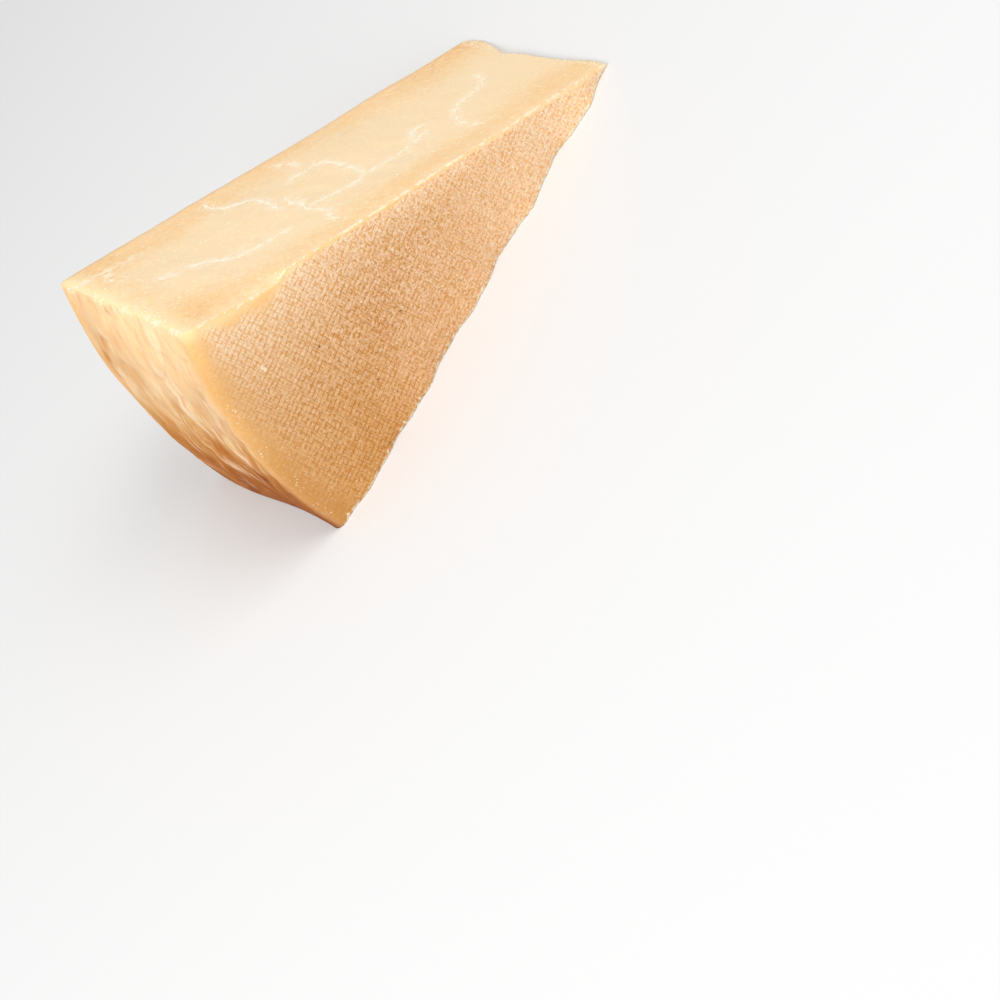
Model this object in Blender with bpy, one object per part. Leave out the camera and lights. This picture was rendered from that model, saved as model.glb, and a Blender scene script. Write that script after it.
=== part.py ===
"""A wedge of firm mountain cheese, about a twelfth of a round wheel, lying on one of its cut faces.

The wheel's axis runs along Y, so its two flats face -Y and +Y and show the imprint of the mould cloth.
The tip, where the axis was, points to +X. The rim of the wheel, with the rind, is at -X.
The wedge rests on its lower cut face. Its upper cut face climbs from the tip to the rim.
All lengths are in metres.
"""

import math

import bmesh
import bpy
import numpy as np

# The wheel, and the knife's two cuts
WHEEL_RADIUS = 0.165
WHEEL_HEIGHT = 0.070
ANGLE_FRONT = math.radians(29.8)  # between the cuts, at the front flat
ANGLE_BACK = math.radians(30.6)  # the knife ran askew, so the back is a little wider

# The rim, where it turns into the flats
RIM_ROUNDING_FRONT = 0.004
RIM_ROUNDING_BACK = 0.0033
SHOULDER_SPAN = 0.025  # the front flat falls away towards the rim's lower corner
SHOULDER_DROP = 0.0014

# The tip, which crumbles back from the wheel's axis by an amount that changes along the edge
TIP_SETBACK_FRONT = 0.0015
TIP_SETBACK_MIDDLE = 0.0044
TIP_WORN_SPAN = 0.024
TIP_CORNER = 0.0016  # the tip's upper front corner has crumbled a little further
TIP_CORNER_SPAN = 0.004
NOTCH_PLACE = 0.0455
NOTCH_WIDTH = 0.004
NOTCH_DEPTH = 0.0013
NOSE_START = 0.0465
NOSE_END = 0.0635
NOSE_SETBACK = 0.0008
NOSE_CORNER = 0.0024  # the nose is rounded off where it meets the back flat
NOSE_CORNER_SPAN = 0.005

# The lower front edge, where the rind broke away in scallops
SCALLOP_LENGTH = 0.033
SCALLOP_START = 0.019
SCALLOP_TIP_DEPTH = 0.0015
SCALLOP_RIM_DEPTH = 0.0004
NIBBLE_LENGTH = 0.0123
NIBBLE_DEPTH = 0.0003
EDGE_SWELL = 0.0007  # how far the front flat swells out above this edge
RAGGED_RISE = 0.006  # how far up the front flat the scallops reach
EDGE_SWELL_RISE = 0.025
FRONT_DEPTH = 0.012  # how deep behind the front flat its unevenness moves the solid

# The upper front edge, chipped near the rim
CHIP_START = 0.128
CHIP_DEEPEST = 0.135
CHIP_END = 0.162
CHIP_DEPTH = 0.0022
CHIP_REACH = 0.004

# The rind on the rim: broad swells, and lumps with creases between them
SWELL_LENGTH = 0.066
SWELL_CREST = 0.019  # measured from the middle of the rim, towards the back
SWELL_HEIGHT = 0.0007
BULGE_START = 0.040  # the rim bulges towards its upper back corner, from this far up its arc
BULGE_FULL = 0.062
BULGE_HEIGHT = 0.0007
RELIEF_DEPTH = 0.020  # how far inside the rim its relief moves the solid
LUMP_SIZE = 0.012
LUMP_SQUEEZE = 0.6  # a lump's width as a share of its length along the arc
LUMP_HEIGHT = 0.0005
LUMP_CREST = 0.5  # where the lumps are flattened, as the rim was pressed by its mould
LUMP_MARGIN = 0.006  # the lumps die away this near to the rim's four edges
LUMP_WAVES = 14
LUMP_SEED = 7

# The upper cut face, as a long knife leaves it
CUT_WAVE_SIZE = 0.040
CUT_WAVE_HEIGHT = 0.00016
CUT_SEED = 3
TOP_SHARE = 0.8  # only the turns above this share follow the upper cut's unevenness
WEAR_SPAN = 0.0035  # its edges at the rim and at the back flat are worn
WEAR_DEPTH = 0.00045
CORNER_SPAN = 0.005  # and more so where these two edges meet
CORNER_DEPTH = 0.0003

# How finely the solid is divided: from tip to rim, from flat to flat, and from cut to cut
STEPS = (40, 28, 26)
CROWDING = 0.36 * math.pi  # the lines from cut to cut crowd towards the two flats
SHARP_ANGLE = math.radians(35.0)

CHEESE_COLOUR = (0.90, 0.69, 0.40, 1.0)
CHEESE_ROUGHNESS = 0.5


def clear_scene():
    """Remove every object, so that the script gives the same scene each time it runs."""
    for old in list(bpy.data.objects):
        bpy.data.objects.remove(old, do_unlink=True)


def smooth_step(low, high, value):
    """Go smoothly from 0 at low to 1 at high."""
    share = np.clip((value - low) / (high - low), 0.0, 1.0)
    return share * share * (3.0 - 2.0 * share)


def lumps(across, along, size, seed):
    """Uneven swells about as long as size: a sum of plane waves whose directions are drawn at random."""
    draw = np.random.default_rng(seed)
    total = np.zeros_like(across)
    for _ in range(LUMP_WAVES):
        heading = draw.uniform(0.0, math.pi)
        number = 2.0 * math.pi / (size * draw.uniform(0.8, 1.6))
        phase = draw.uniform(0.0, 2.0 * math.pi)
        total += np.cos(number * (across * math.cos(heading) + along * math.sin(heading)) + phase)
    return total / math.sqrt(LUMP_WAVES / 2.0)


def tip_setback(height, turn):
    """Distance from the wheel's axis to the tip's edge, at a height above the front flat."""
    worn = smooth_step(0.0, TIP_WORN_SPAN, height)
    edge = TIP_SETBACK_FRONT + (TIP_SETBACK_MIDDLE - TIP_SETBACK_FRONT) * worn
    edge = edge + NOTCH_DEPTH * np.exp(-(((height - NOTCH_PLACE) / NOTCH_WIDTH) ** 2))
    nose = smooth_step(NOSE_START, NOSE_END, height)
    corner = np.clip((height - WHEEL_HEIGHT) / NOSE_CORNER_SPAN + 1.0, 0.0, 1.0) ** 2
    edge = edge * (1.0 - nose) + NOSE_SETBACK * nose + NOSE_CORNER * corner
    return edge + TIP_CORNER * turn ** 2 * np.exp(-np.maximum(height, 0.0) / TIP_CORNER_SPAN)


def ragged_edge(radius):
    """How far the lower front edge stands out, at a distance from the wheel's axis."""
    fade = 1.0 - radius / WHEEL_RADIUS
    depth = SCALLOP_RIM_DEPTH + (SCALLOP_TIP_DEPTH - SCALLOP_RIM_DEPTH) * fade
    scallops = depth * np.cos(2.0 * math.pi * (radius - SCALLOP_START) / SCALLOP_LENGTH)
    nibbles = NIBBLE_DEPTH * np.sin(2.0 * math.pi * radius / NIBBLE_LENGTH)
    return scallops + nibbles


def rind_relief(height, arc, arc_length):
    """Rise of the rind above the wheel's radius: creased lumps that die away towards the rim's edges."""
    across = height - WHEEL_HEIGHT / 2.0
    creased = np.abs(lumps(across, arc * LUMP_SQUEEZE, LUMP_SIZE, LUMP_SEED)) - 1.0
    inside = smooth_step(0.0, LUMP_MARGIN, np.minimum(height, WHEEL_HEIGHT - height))
    inside = inside * smooth_step(0.0, LUMP_MARGIN, np.minimum(arc, arc_length - arc))
    swell = np.cos(2.0 * math.pi * (across - SWELL_CREST) / SWELL_LENGTH) * (1.0 - arc / arc_length)
    bulge = smooth_step(BULGE_START, BULGE_FULL, arc) * smooth_step(0.0, WHEEL_HEIGHT / 2.0, across)
    creases = LUMP_HEIGHT * np.minimum(creased, LUMP_CREST) * inside
    return creases + SWELL_HEIGHT * swell + BULGE_HEIGHT * bulge


def round_rim(radius, height):
    """Turn the square corners between the rim and the flats into arcs."""
    rounding = np.where(height < WHEEL_HEIGHT / 2.0, RIM_ROUNDING_FRONT, RIM_ROUNDING_BACK)
    side = height - WHEEL_HEIGHT / 2.0
    out = np.maximum(radius - (WHEEL_RADIUS - rounding), 0.0)
    past = np.maximum(np.abs(side) - (WHEEL_HEIGHT / 2.0 - rounding), 0.0)
    in_corner = (out > 0.0) & (past > 0.0)
    pull = np.where(in_corner, 1.0 - rounding / np.maximum(np.hypot(out, past), rounding), 0.0)
    return radius - out * pull, height - np.sign(side) * past * pull


def front_shift(radius, above, turn):
    """How far the front flat lies behind its plane; less than zero where it stands out."""
    shoulder = SHOULDER_DROP * smooth_step(WHEEL_RADIUS - SHOULDER_SPAN, WHEEL_RADIUS, radius) * (1.0 - turn)
    swell = EDGE_SWELL * smooth_step(0.0, EDGE_SWELL_RISE, WHEEL_RADIUS - radius)
    ragged = ragged_edge(radius) * np.exp(-above / RAGGED_RISE)
    return shoulder - swell * np.exp(-above / EDGE_SWELL_RISE) - ragged


def top_lift(radius, height, turn):
    """Rise of the upper cut above its plane: long shallow waves, a chip, worn edges and a worn corner."""
    chip = smooth_step(CHIP_START, CHIP_DEEPEST, radius) * smooth_step(CHIP_END, CHIP_DEEPEST, radius)
    chip = CHIP_DEPTH * chip * np.exp(-np.maximum(height, 0.0) / CHIP_REACH)
    wave = CUT_WAVE_HEIGHT * lumps(radius, height, CUT_WAVE_SIZE, CUT_SEED)
    by_rim = smooth_step(WHEEL_RADIUS - WEAR_SPAN, WHEEL_RADIUS, radius)
    by_back = smooth_step(WHEEL_HEIGHT - WEAR_SPAN, WHEEL_HEIGHT, height)
    corner = smooth_step(WHEEL_RADIUS - CORNER_SPAN, WHEEL_RADIUS, radius)
    corner = corner * smooth_step(WHEEL_HEIGHT - CORNER_SPAN, WHEEL_HEIGHT, height)
    lift = wave - chip - WEAR_DEPTH * np.maximum(by_rim, by_back) ** 2 - CORNER_DEPTH * corner
    return lift * smooth_step(TOP_SHARE, 1.0, turn) * smooth_step(0.0, CUT_WAVE_SIZE, radius)


def wedge_points(cube):
    """Bend the points of a cube from -1 to 1 into the wedge.

    The cube's X goes from the rim to the tip, its Y from the front flat to the back one, and its Z
    from the lower cut to the upper one. A point of the wedge has a radius from the wheel's axis, a
    height above the front flat, which is measured along Y, and a turn from the lower cut (0) to the
    upper one (1).
    """
    outward = (1.0 - cube[:, 0]) / 2.0
    turn = (1.0 + cube[:, 2]) / 2.0
    height = WHEEL_HEIGHT / 2.0 * (1.0 + np.sin(cube[:, 1] * CROWDING) / math.sin(CROWDING))

    setback = tip_setback(height, turn)
    radius = setback + outward * (WHEEL_RADIUS - setback)
    angle = turn * (ANGLE_FRONT + (ANGLE_BACK - ANGLE_FRONT) * height / WHEEL_HEIGHT)
    arc_length = WHEEL_RADIUS * (ANGLE_FRONT + ANGLE_BACK) / 2.0
    relief = rind_relief(height, turn * arc_length, arc_length)
    radius, height = round_rim(radius, height)
    near_rim = smooth_step(WHEEL_RADIUS - RELIEF_DEPTH, WHEEL_RADIUS - RIM_ROUNDING_FRONT, radius)
    radius = radius + relief * near_rim

    near_front = np.clip(1.0 - height / FRONT_DEPTH, 0.0, 1.0) ** 2
    height = height + front_shift(radius, radius * np.sin(angle), turn) * near_front
    lift = top_lift(radius, height, turn)

    along_x = WHEEL_RADIUS / 2.0 - radius * np.cos(angle) + lift * np.sin(angle)
    up_z = radius * np.sin(angle) + lift * np.cos(angle)
    return np.column_stack((along_x, height - WHEEL_HEIGHT / 2.0, up_z))


def divided_cube():
    """A cube from -1 to 1 with each side divided into a grid."""
    shape = bmesh.new()
    bmesh.ops.create_cube(shape, size=2.0)
    for axis, steps in enumerate(STEPS):
        along = [e for e in shape.edges if abs(e.verts[0].co[axis] - e.verts[1].co[axis]) > 1e-6]
        bmesh.ops.subdivide_edges(shape, edges=along, cuts=steps - 1, use_grid_fill=True)
    return shape


def merge_resting_face(shape):
    """Make the flat lower cut, on which the wedge rests, one face."""
    lower = [f for f in shape.faces if all(abs(v.co.z) < 1e-7 for v in f.verts)]
    bmesh.ops.dissolve_faces(shape, faces=lower, use_verts=False)


def cheese_material():
    """Pale straw-coloured paste, a little waxy."""
    material = bpy.data.materials.new("cheese_paste")
    material.use_nodes = True
    shader = material.node_tree.nodes["Principled BSDF"]
    shader.inputs["Base Color"].default_value = CHEESE_COLOUR
    shader.inputs["Roughness"].default_value = CHEESE_ROUGHNESS
    shader.inputs["Metallic"].default_value = 0.0
    material.diffuse_color = CHEESE_COLOUR
    return material


def build_wedge(collection):
    """Shape the wedge, centre its footprint on the origin and stand it on the ground."""
    shape = divided_cube()
    corners = np.array([v.co for v in shape.verts])
    points = wedge_points(corners)
    middle = (points.min(axis=0) + points.max(axis=0)) / 2.0
    points[:, :2] -= middle[:2]
    for vertex, point in zip(shape.verts, points):
        vertex.co = point
    merge_resting_face(shape)

    mesh = bpy.data.meshes.new("cheese_wedge")
    shape.to_mesh(mesh)
    shape.free()
    mesh.shade_smooth()
    mesh.set_sharp_from_angle(angle=SHARP_ANGLE)
    wedge = bpy.data.objects.new("cheese_wedge", mesh)
    wedge.data.materials.append(cheese_material())
    collection.objects.link(wedge)
    return wedge


def main():
    clear_scene()
    collection = bpy.data.collections.new("montasio_chunk")
    bpy.context.scene.collection.children.link(collection)
    build_wedge(collection)


main()
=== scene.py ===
# %% [markdown]
# # A wedge of firm mountain cheese
#
# One knife-cut wedge, about a twelfth of a round wheel, lies on a cut face. Its construction script gives
# the true solid, which this lesson loads first and never moves. What follows gives it the looks: paste with
# torn flake edges, the mould cloth's imprint on the two flats, a waxy rind, and crumbs.

# %% Load the solid
import math

import bpy
import numpy as np
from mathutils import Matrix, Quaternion, Vector


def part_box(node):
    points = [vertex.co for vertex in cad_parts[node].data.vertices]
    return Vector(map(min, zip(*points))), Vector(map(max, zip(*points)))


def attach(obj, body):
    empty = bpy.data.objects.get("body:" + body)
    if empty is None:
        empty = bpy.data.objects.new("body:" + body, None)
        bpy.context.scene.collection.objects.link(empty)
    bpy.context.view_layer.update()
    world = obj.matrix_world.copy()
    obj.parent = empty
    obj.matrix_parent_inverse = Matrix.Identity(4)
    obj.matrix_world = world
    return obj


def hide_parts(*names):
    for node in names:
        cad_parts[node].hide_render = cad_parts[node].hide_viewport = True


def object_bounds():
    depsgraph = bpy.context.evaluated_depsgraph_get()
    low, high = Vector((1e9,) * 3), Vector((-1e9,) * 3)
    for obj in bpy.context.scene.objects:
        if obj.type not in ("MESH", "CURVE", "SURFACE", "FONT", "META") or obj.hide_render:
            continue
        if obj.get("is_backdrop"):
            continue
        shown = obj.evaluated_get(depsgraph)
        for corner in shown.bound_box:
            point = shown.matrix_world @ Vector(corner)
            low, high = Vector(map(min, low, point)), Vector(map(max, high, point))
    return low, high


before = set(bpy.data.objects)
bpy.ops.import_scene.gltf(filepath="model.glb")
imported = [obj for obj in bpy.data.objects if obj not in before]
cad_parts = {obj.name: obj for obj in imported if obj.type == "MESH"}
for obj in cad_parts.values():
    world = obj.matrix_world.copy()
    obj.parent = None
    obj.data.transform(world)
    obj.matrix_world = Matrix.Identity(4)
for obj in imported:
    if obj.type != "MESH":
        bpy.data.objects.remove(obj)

solid_low, solid_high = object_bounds()
wedge_low, wedge_high = (np.array(corner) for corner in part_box("cheese_wedge"))
print("the solid measures", np.round((wedge_high - wedge_low) * 1000.0, 1), "mm")

# %% [markdown]
# ## The same wheel, the same cuts
#
# The dressed wedge has to lie exactly where its solid lies, so it is worked out from the same sizes and the
# same formulas, only on a far finer grid. Places on it are told as in a wheel: a radius from the wheel's
# axis, a height above the front flat, and a turn from the lower cut (0) to the upper cut (1).

# %% The sizes of the wheel and the angles of its cuts
MM = 0.001
WHEEL_RADIUS = 165.0 * MM
WHEEL_HEIGHT = 70.0 * MM
ANGLE_FRONT = math.radians(29.8)
ANGLE_BACK = math.radians(30.6)
ARC_LENGTH = WHEEL_RADIUS * (ANGLE_FRONT + ANGLE_BACK) / 2.0
print("a wheel", 2000.0 * WHEEL_RADIUS, "mm across and", 1000.0 * WHEEL_HEIGHT, "mm high")

# %% Three helpers: a soft step, a bell, and uneven swells
LUMP_WAVES = 14  # how many waves make up a swell,
FINE_WAVES = 20  # and a fine one


def smooth_step(low, high, value):
    """Go from 0 at low to 1 at high along the curve 3 t squared minus 2 t cubed."""
    share = np.clip((value - low) / (high - low), 0.0, 1.0)
    return share * share * (3.0 - 2.0 * share)


def bell(value, middle, width):
    """1 at the middle, and less to both sides along the curve exp(-t squared)."""
    return np.exp(-((value - middle) / width) ** 2)


def lumps(across, along, size, seed, waves=LUMP_WAVES):
    """Uneven swells about as long as size: a sum of plane waves whose directions are drawn at random."""
    draw = np.random.default_rng(seed)
    total = np.zeros_like(across)
    for _ in range(waves):
        heading = draw.uniform(0.0, math.pi)
        number = 2.0 * math.pi / (size * draw.uniform(0.8, 1.6))
        phase = draw.uniform(0.0, 2.0 * math.pi)
        total += np.cos(number * (across * math.cos(heading) + along * math.sin(heading)) + phase)
    return total / math.sqrt(waves / 2.0)


print("a soft step passes", smooth_step(0.0, 1.0, 0.5), "half way")

# %% The tip, by the same formula as in the solid
TIP_SETBACK_FRONT = 1.5 * MM
TIP_SETBACK_MIDDLE = 4.4 * MM
TIP_WORN_SPAN = 24.0 * MM
TIP_CORNER = 1.6 * MM
TIP_CORNER_SPAN = 4.0 * MM
NOTCH_PLACE = 45.5 * MM
NOTCH_WIDTH = 4.0 * MM
NOTCH_DEPTH = 1.3 * MM
NOSE_START = 46.5 * MM
NOSE_END = 63.5 * MM
NOSE_SETBACK = 0.8 * MM
NOSE_CORNER = 2.4 * MM
NOSE_CORNER_SPAN = 5.0 * MM


def tip_setback(height, turn):
    """Distance from the wheel's axis to the tip's edge: worn in the middle, with a notch and a nose."""
    worn = smooth_step(0.0, TIP_WORN_SPAN, height)
    edge = TIP_SETBACK_FRONT + (TIP_SETBACK_MIDDLE - TIP_SETBACK_FRONT) * worn
    edge = edge + NOTCH_DEPTH * bell(height, NOTCH_PLACE, NOTCH_WIDTH)
    nose = smooth_step(NOSE_START, NOSE_END, height)
    corner = np.clip((height - WHEEL_HEIGHT) / NOSE_CORNER_SPAN + 1.0, 0.0, 1.0) ** 2
    edge = edge * (1.0 - nose) + NOSE_SETBACK * nose + NOSE_CORNER * corner
    return edge + TIP_CORNER * turn ** 2 * np.exp(-np.maximum(height, 0.0) / TIP_CORNER_SPAN)


print("the tip stands back", np.round(tip_setback(np.array([0.0, 35.0, 70.0]) * MM, 1.0) / MM, 1), "mm")

# %% The ragged lower edge
SCALLOP_LENGTH = 33.0 * MM
SCALLOP_START = 19.0 * MM
SCALLOP_TIP_DEPTH = 1.5 * MM
SCALLOP_RIM_DEPTH = 0.4 * MM
NIBBLE_LENGTH = 12.3 * MM
NIBBLE_DEPTH = 0.3 * MM


def ragged_edge(radius):
    """Scallops and nibbles of the lower front edge: a long and a short wave along the radius."""
    fade = 1.0 - radius / WHEEL_RADIUS
    depth = SCALLOP_RIM_DEPTH + (SCALLOP_TIP_DEPTH - SCALLOP_RIM_DEPTH) * fade
    scallops = depth * np.cos(2.0 * math.pi * (radius - SCALLOP_START) / SCALLOP_LENGTH)
    return scallops + NIBBLE_DEPTH * np.sin(2.0 * math.pi * radius / NIBBLE_LENGTH)


print("scallops stand out", round(ragged_edge(SCALLOP_START) / MM, 1), "mm near the tip")

# %% The rind's relief
SWELL_LENGTH = 66.0 * MM
SWELL_CREST = 19.0 * MM
SWELL_HEIGHT = 0.7 * MM
BULGE_START = 40.0 * MM
BULGE_FULL = 62.0 * MM
BULGE_HEIGHT = 0.7 * MM
LUMP_SIZE = 12.0 * MM
LUMP_SQUEEZE = 0.6
LUMP_HEIGHT = 0.5 * MM
LUMP_CREST = 0.5
LUMP_MARGIN = 6.0 * MM
LUMP_SEED = 7


def rind_relief(height, arc):
    """Rise of the rind: a swell, a bulge at the upper back corner, and lumps.

    The lumps have creases where their sum of waves crosses zero.
    """
    across = height - WHEEL_HEIGHT / 2.0
    creased = np.abs(lumps(across, arc * LUMP_SQUEEZE, LUMP_SIZE, LUMP_SEED)) - 1.0
    inside = smooth_step(0.0, LUMP_MARGIN, np.minimum(height, WHEEL_HEIGHT - height))
    inside = inside * smooth_step(0.0, LUMP_MARGIN, np.minimum(arc, ARC_LENGTH - arc))
    swell = np.cos(2.0 * math.pi * (across - SWELL_CREST) / SWELL_LENGTH) * (1.0 - arc / ARC_LENGTH)
    bulge = smooth_step(BULGE_START, BULGE_FULL, arc) * smooth_step(0.0, WHEEL_HEIGHT / 2.0, across)
    creases = LUMP_HEIGHT * np.minimum(creased, LUMP_CREST) * inside
    return creases + SWELL_HEIGHT * swell + BULGE_HEIGHT * bulge


crest_rise = rind_relief(np.array([WHEEL_HEIGHT / 2.0 + SWELL_CREST]), np.array([0.0]))
print("at its crest the swell lifts the rind by", round(crest_rise[0] / MM, 2), "mm")

# %% The rounded rim
RIM_ROUNDING_FRONT = 4.0 * MM
RIM_ROUNDING_BACK = 3.3 * MM


def round_rim(radius, height):
    """Pull the square corners between rim and flats onto arcs."""
    rounding = np.where(height < WHEEL_HEIGHT / 2.0, RIM_ROUNDING_FRONT, RIM_ROUNDING_BACK)
    side = height - WHEEL_HEIGHT / 2.0
    out = np.maximum(radius - (WHEEL_RADIUS - rounding), 0.0)
    past = np.maximum(np.abs(side) - (WHEEL_HEIGHT / 2.0 - rounding), 0.0)
    in_corner = (out > 0.0) & (past > 0.0)
    pull = np.where(in_corner, 1.0 - rounding / np.maximum(np.hypot(out, past), rounding), 0.0)
    return radius - out * pull, height - np.sign(side) * past * pull


rounded, _ = round_rim(np.array([WHEEL_RADIUS]), np.array([0.0]))
print("the rim's square corner is pulled in by", round((WHEEL_RADIUS - rounded[0]) / MM, 2), "mm")

# %% The front flat
SHOULDER_SPAN = 25.0 * MM
SHOULDER_DROP = 1.4 * MM
EDGE_SWELL = 0.7 * MM
EDGE_SWELL_RISE = 25.0 * MM
RAGGED_RISE = 6.0 * MM


def front_shift(radius, above, turn):
    """How far the front flat lies behind its plane; less than zero where it stands out."""
    shoulder = smooth_step(WHEEL_RADIUS - SHOULDER_SPAN, WHEEL_RADIUS, radius) * SHOULDER_DROP * (1.0 - turn)
    swell = EDGE_SWELL * smooth_step(0.0, EDGE_SWELL_RISE, WHEEL_RADIUS - radius)
    ragged = ragged_edge(radius) * np.exp(-above / RAGGED_RISE)
    return shoulder - swell * np.exp(-above / EDGE_SWELL_RISE) - ragged


print("the shoulder's deepest drop is", round(front_shift(WHEEL_RADIUS, WHEEL_RADIUS, 0.0) / MM, 1), "mm")

# %% The upper cut
CHIP_START = 128.0 * MM
CHIP_DEEPEST = 135.0 * MM
CHIP_END = 162.0 * MM
CHIP_DEPTH = 2.2 * MM
CHIP_REACH = 4.0 * MM
CUT_WAVE_SIZE = 40.0 * MM
CUT_WAVE_HEIGHT = 0.16 * MM
CUT_SEED = 3
TOP_SHARE = 0.8
WEAR_SPAN = 3.5 * MM
WEAR_DEPTH = 0.45 * MM
CORNER_SPAN = 5.0 * MM
CORNER_DEPTH = 0.3 * MM


def top_lift(radius, height, turn):
    """Rise of the upper cut above its plane: long shallow waves, a chip, worn edges and a worn corner."""
    chip = smooth_step(CHIP_START, CHIP_DEEPEST, radius) * smooth_step(CHIP_END, CHIP_DEEPEST, radius)
    chip = CHIP_DEPTH * chip * np.exp(-np.maximum(height, 0.0) / CHIP_REACH)
    wave = CUT_WAVE_HEIGHT * lumps(radius, height, CUT_WAVE_SIZE, CUT_SEED)
    by_rim = smooth_step(WHEEL_RADIUS - WEAR_SPAN, WHEEL_RADIUS, radius)
    by_back = smooth_step(WHEEL_HEIGHT - WEAR_SPAN, WHEEL_HEIGHT, height)
    corner = smooth_step(WHEEL_RADIUS - CORNER_SPAN, WHEEL_RADIUS, radius)
    corner = corner * smooth_step(WHEEL_HEIGHT - CORNER_SPAN, WHEEL_HEIGHT, height)
    lift = wave - chip - WEAR_DEPTH * np.maximum(by_rim, by_back) ** 2 - CORNER_DEPTH * corner
    return lift * smooth_step(TOP_SHARE, 1.0, turn) * smooth_step(0.0, CUT_WAVE_SIZE, radius)


chip_bottom = top_lift(np.array([CHIP_DEEPEST]), np.array([0.0]), 1.0)
print("the chip goes down", round(-chip_bottom[0] / MM, 1), "mm")

# %% [markdown]
# ## What is finer than the solid
#
# A firm curd takes the print of the cloth that lines its mould: small cells between thin grooves, in rows
# 1.6 mm apart, with a thick column every 1.9 mm and a thin one between, and a second set of columns every
# 1.5 mm that falls in and out of step with the first. It could be painted on only, but then the mesh alone
# would be smooth, so the rows and the thick columns are pressed into the grid as well. The cloth sat a little
# askew, and it puckered towards the middle of the wheel, so the lattice leans, drifts and loses its order.

# %% The mould cloth
THREAD_ACROSS = 1.94 * MM  # from one thick column to the next, with a thin one between
THREAD_UP = 1.62 * MM  # from one row to the next
COLUMN_LEAN = math.radians(5.0)
ROW_RISE = math.radians(8.5)
CLOTH_DRIFT_SIZE = 30.0 * MM
CLOTH_DRIFT = 0.13  # in threads
CLOTH_SLIP_SIZE = 5.0 * MM
CLOTH_SLIP = 0.04
CLOTH_DEPTH = 0.12 * MM
SHALLOWER = (110.0 * MM, 60.0 * MM)  # between these radii, towards the tip, the imprint loses half its depth
ODD_PITCH = 0.785  # the step, in threads, of a second set of columns out of step with the first
GROOVE_HALF = 0.02  # half a groove's floor, in threads
CELL_START = 0.30


def cloth_threads(along_x, up_z, seed):
    """Columns and rows counted in threads: two leaning rulers, each bent by slow waves and small slips."""
    columns = (along_x * math.cos(COLUMN_LEAN) + up_z * math.sin(COLUMN_LEAN)) / THREAD_ACROSS
    rows = (up_z * math.cos(ROW_RISE) - along_x * math.sin(ROW_RISE)) / THREAD_UP
    for share, size in ((CLOTH_DRIFT, CLOTH_DRIFT_SIZE), (CLOTH_SLIP, CLOTH_SLIP_SIZE)):
        columns = columns + share * lumps(along_x, up_z, size, seed)
        rows = rows + share * lumps(along_x, up_z, size, seed + 1)
    return columns, rows


def cloth_cells(columns, rows):
    """1 on a cell and 0 in a groove: the smaller of the two distances to the nearest groove, softened."""
    beside = np.minimum(np.abs(columns - np.round(columns)), np.abs(rows - np.round(rows)))
    return smooth_step(GROOVE_HALF, CELL_START, beside)


one_thread = np.linspace(0.0, 1.0, 101)
covered = cloth_cells(*np.meshgrid(one_thread, one_thread)).mean()
print("cells cover", round(float(covered), 2), "of the cloth")

# %% Where the cloth pressed: not on the band along the rim, nor on the strips beside the cuts
SMOOTH_BAND = 1.2 * MM
BAND_FADE = 8.0 * MM
BAND_WANDER, BAND_WANDER_SIZE = 0.8 * MM, 9.0 * MM
BAND_WIDENS = (66.0 * MM, 40.0 * MM)  # between these heights over the lower cut the bare band gets wider
LOW_BAND = 0.8 * MM
LOW_FADE = 3.0 * MM
STRIP_DEPTH = 0.9 * MM
STRIP_WANDER_SIZE = 12.0 * MM
STRIP_NARROWS = (85.0 * MM, 45.0 * MM)  # between these radii the strip loses half its depth
CHIP_STRIP_DEPTH = 3.0 * MM
LEAST_STRIP = 0.2 * MM
FOOT_FADE = 1.0 * MM


def cloth_press(radius, above, below, chipped):
    """Strength of the imprint: fades at the rim's band, under the upper cut and above the lower one."""
    low = smooth_step(*BAND_WIDENS, above)
    wander = BAND_WANDER * lumps(radius, above, BAND_WANDER_SIZE, 41)
    inward = WHEEL_RADIUS - radius - SMOOTH_BAND - LOW_BAND * low + wander
    band = smooth_step(0.0, 1.0, inward / (BAND_FADE + LOW_FADE * low))
    strip = STRIP_DEPTH + chipped * CHIP_STRIP_DEPTH * smooth_step(CHIP_START, CHIP_DEEPEST, radius)
    strip = strip * (1.0 - 0.5 * smooth_step(*STRIP_NARROWS, radius))
    strip = strip * (1.0 + 0.25 * lumps(radius, above, STRIP_WANDER_SIZE, 43))
    top = smooth_step(0.3, 1.8, below / np.maximum(strip, LEAST_STRIP))
    return band * top * smooth_step(0.0, FOOT_FADE, above)


print("past", SMOOTH_BAND / MM, "mm from the rim the imprint grows over", BAND_FADE / MM, "mm")

# %% [markdown]
# The rind has waxy streaks on top of its lumps, drawn out along the rim's arc, and every edge that a knife
# or a hand made crumbles a little. Each is a sum of waves again, held to its own place by a fade.

# %% Wrinkles and crumbled edges
WRINKLES = ((3.6 * MM, 0.045 * MM, 51), (1.7 * MM, 0.02 * MM, 52))  # size across, height and seed
WRINKLE_SQUEEZE = 0.38  # how much shorter a wrinkle is across than along the arc
CRUMBLE_SIZE = 1.6 * MM
CRUMBLE_DEPTH = 0.09 * MM
CRUMBLE_REACH = 0.5 * MM
NIBBLED_DEPTH = 0.30 * MM
TIP_CRUMBLE_SIZE = 3.4 * MM
TIP_CRUMBLE_DEPTH = 0.10 * MM
KNIFE_WAVE_SIZE = 9.0 * MM
KNIFE_WAVE_HEIGHT = 0.035 * MM


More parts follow.
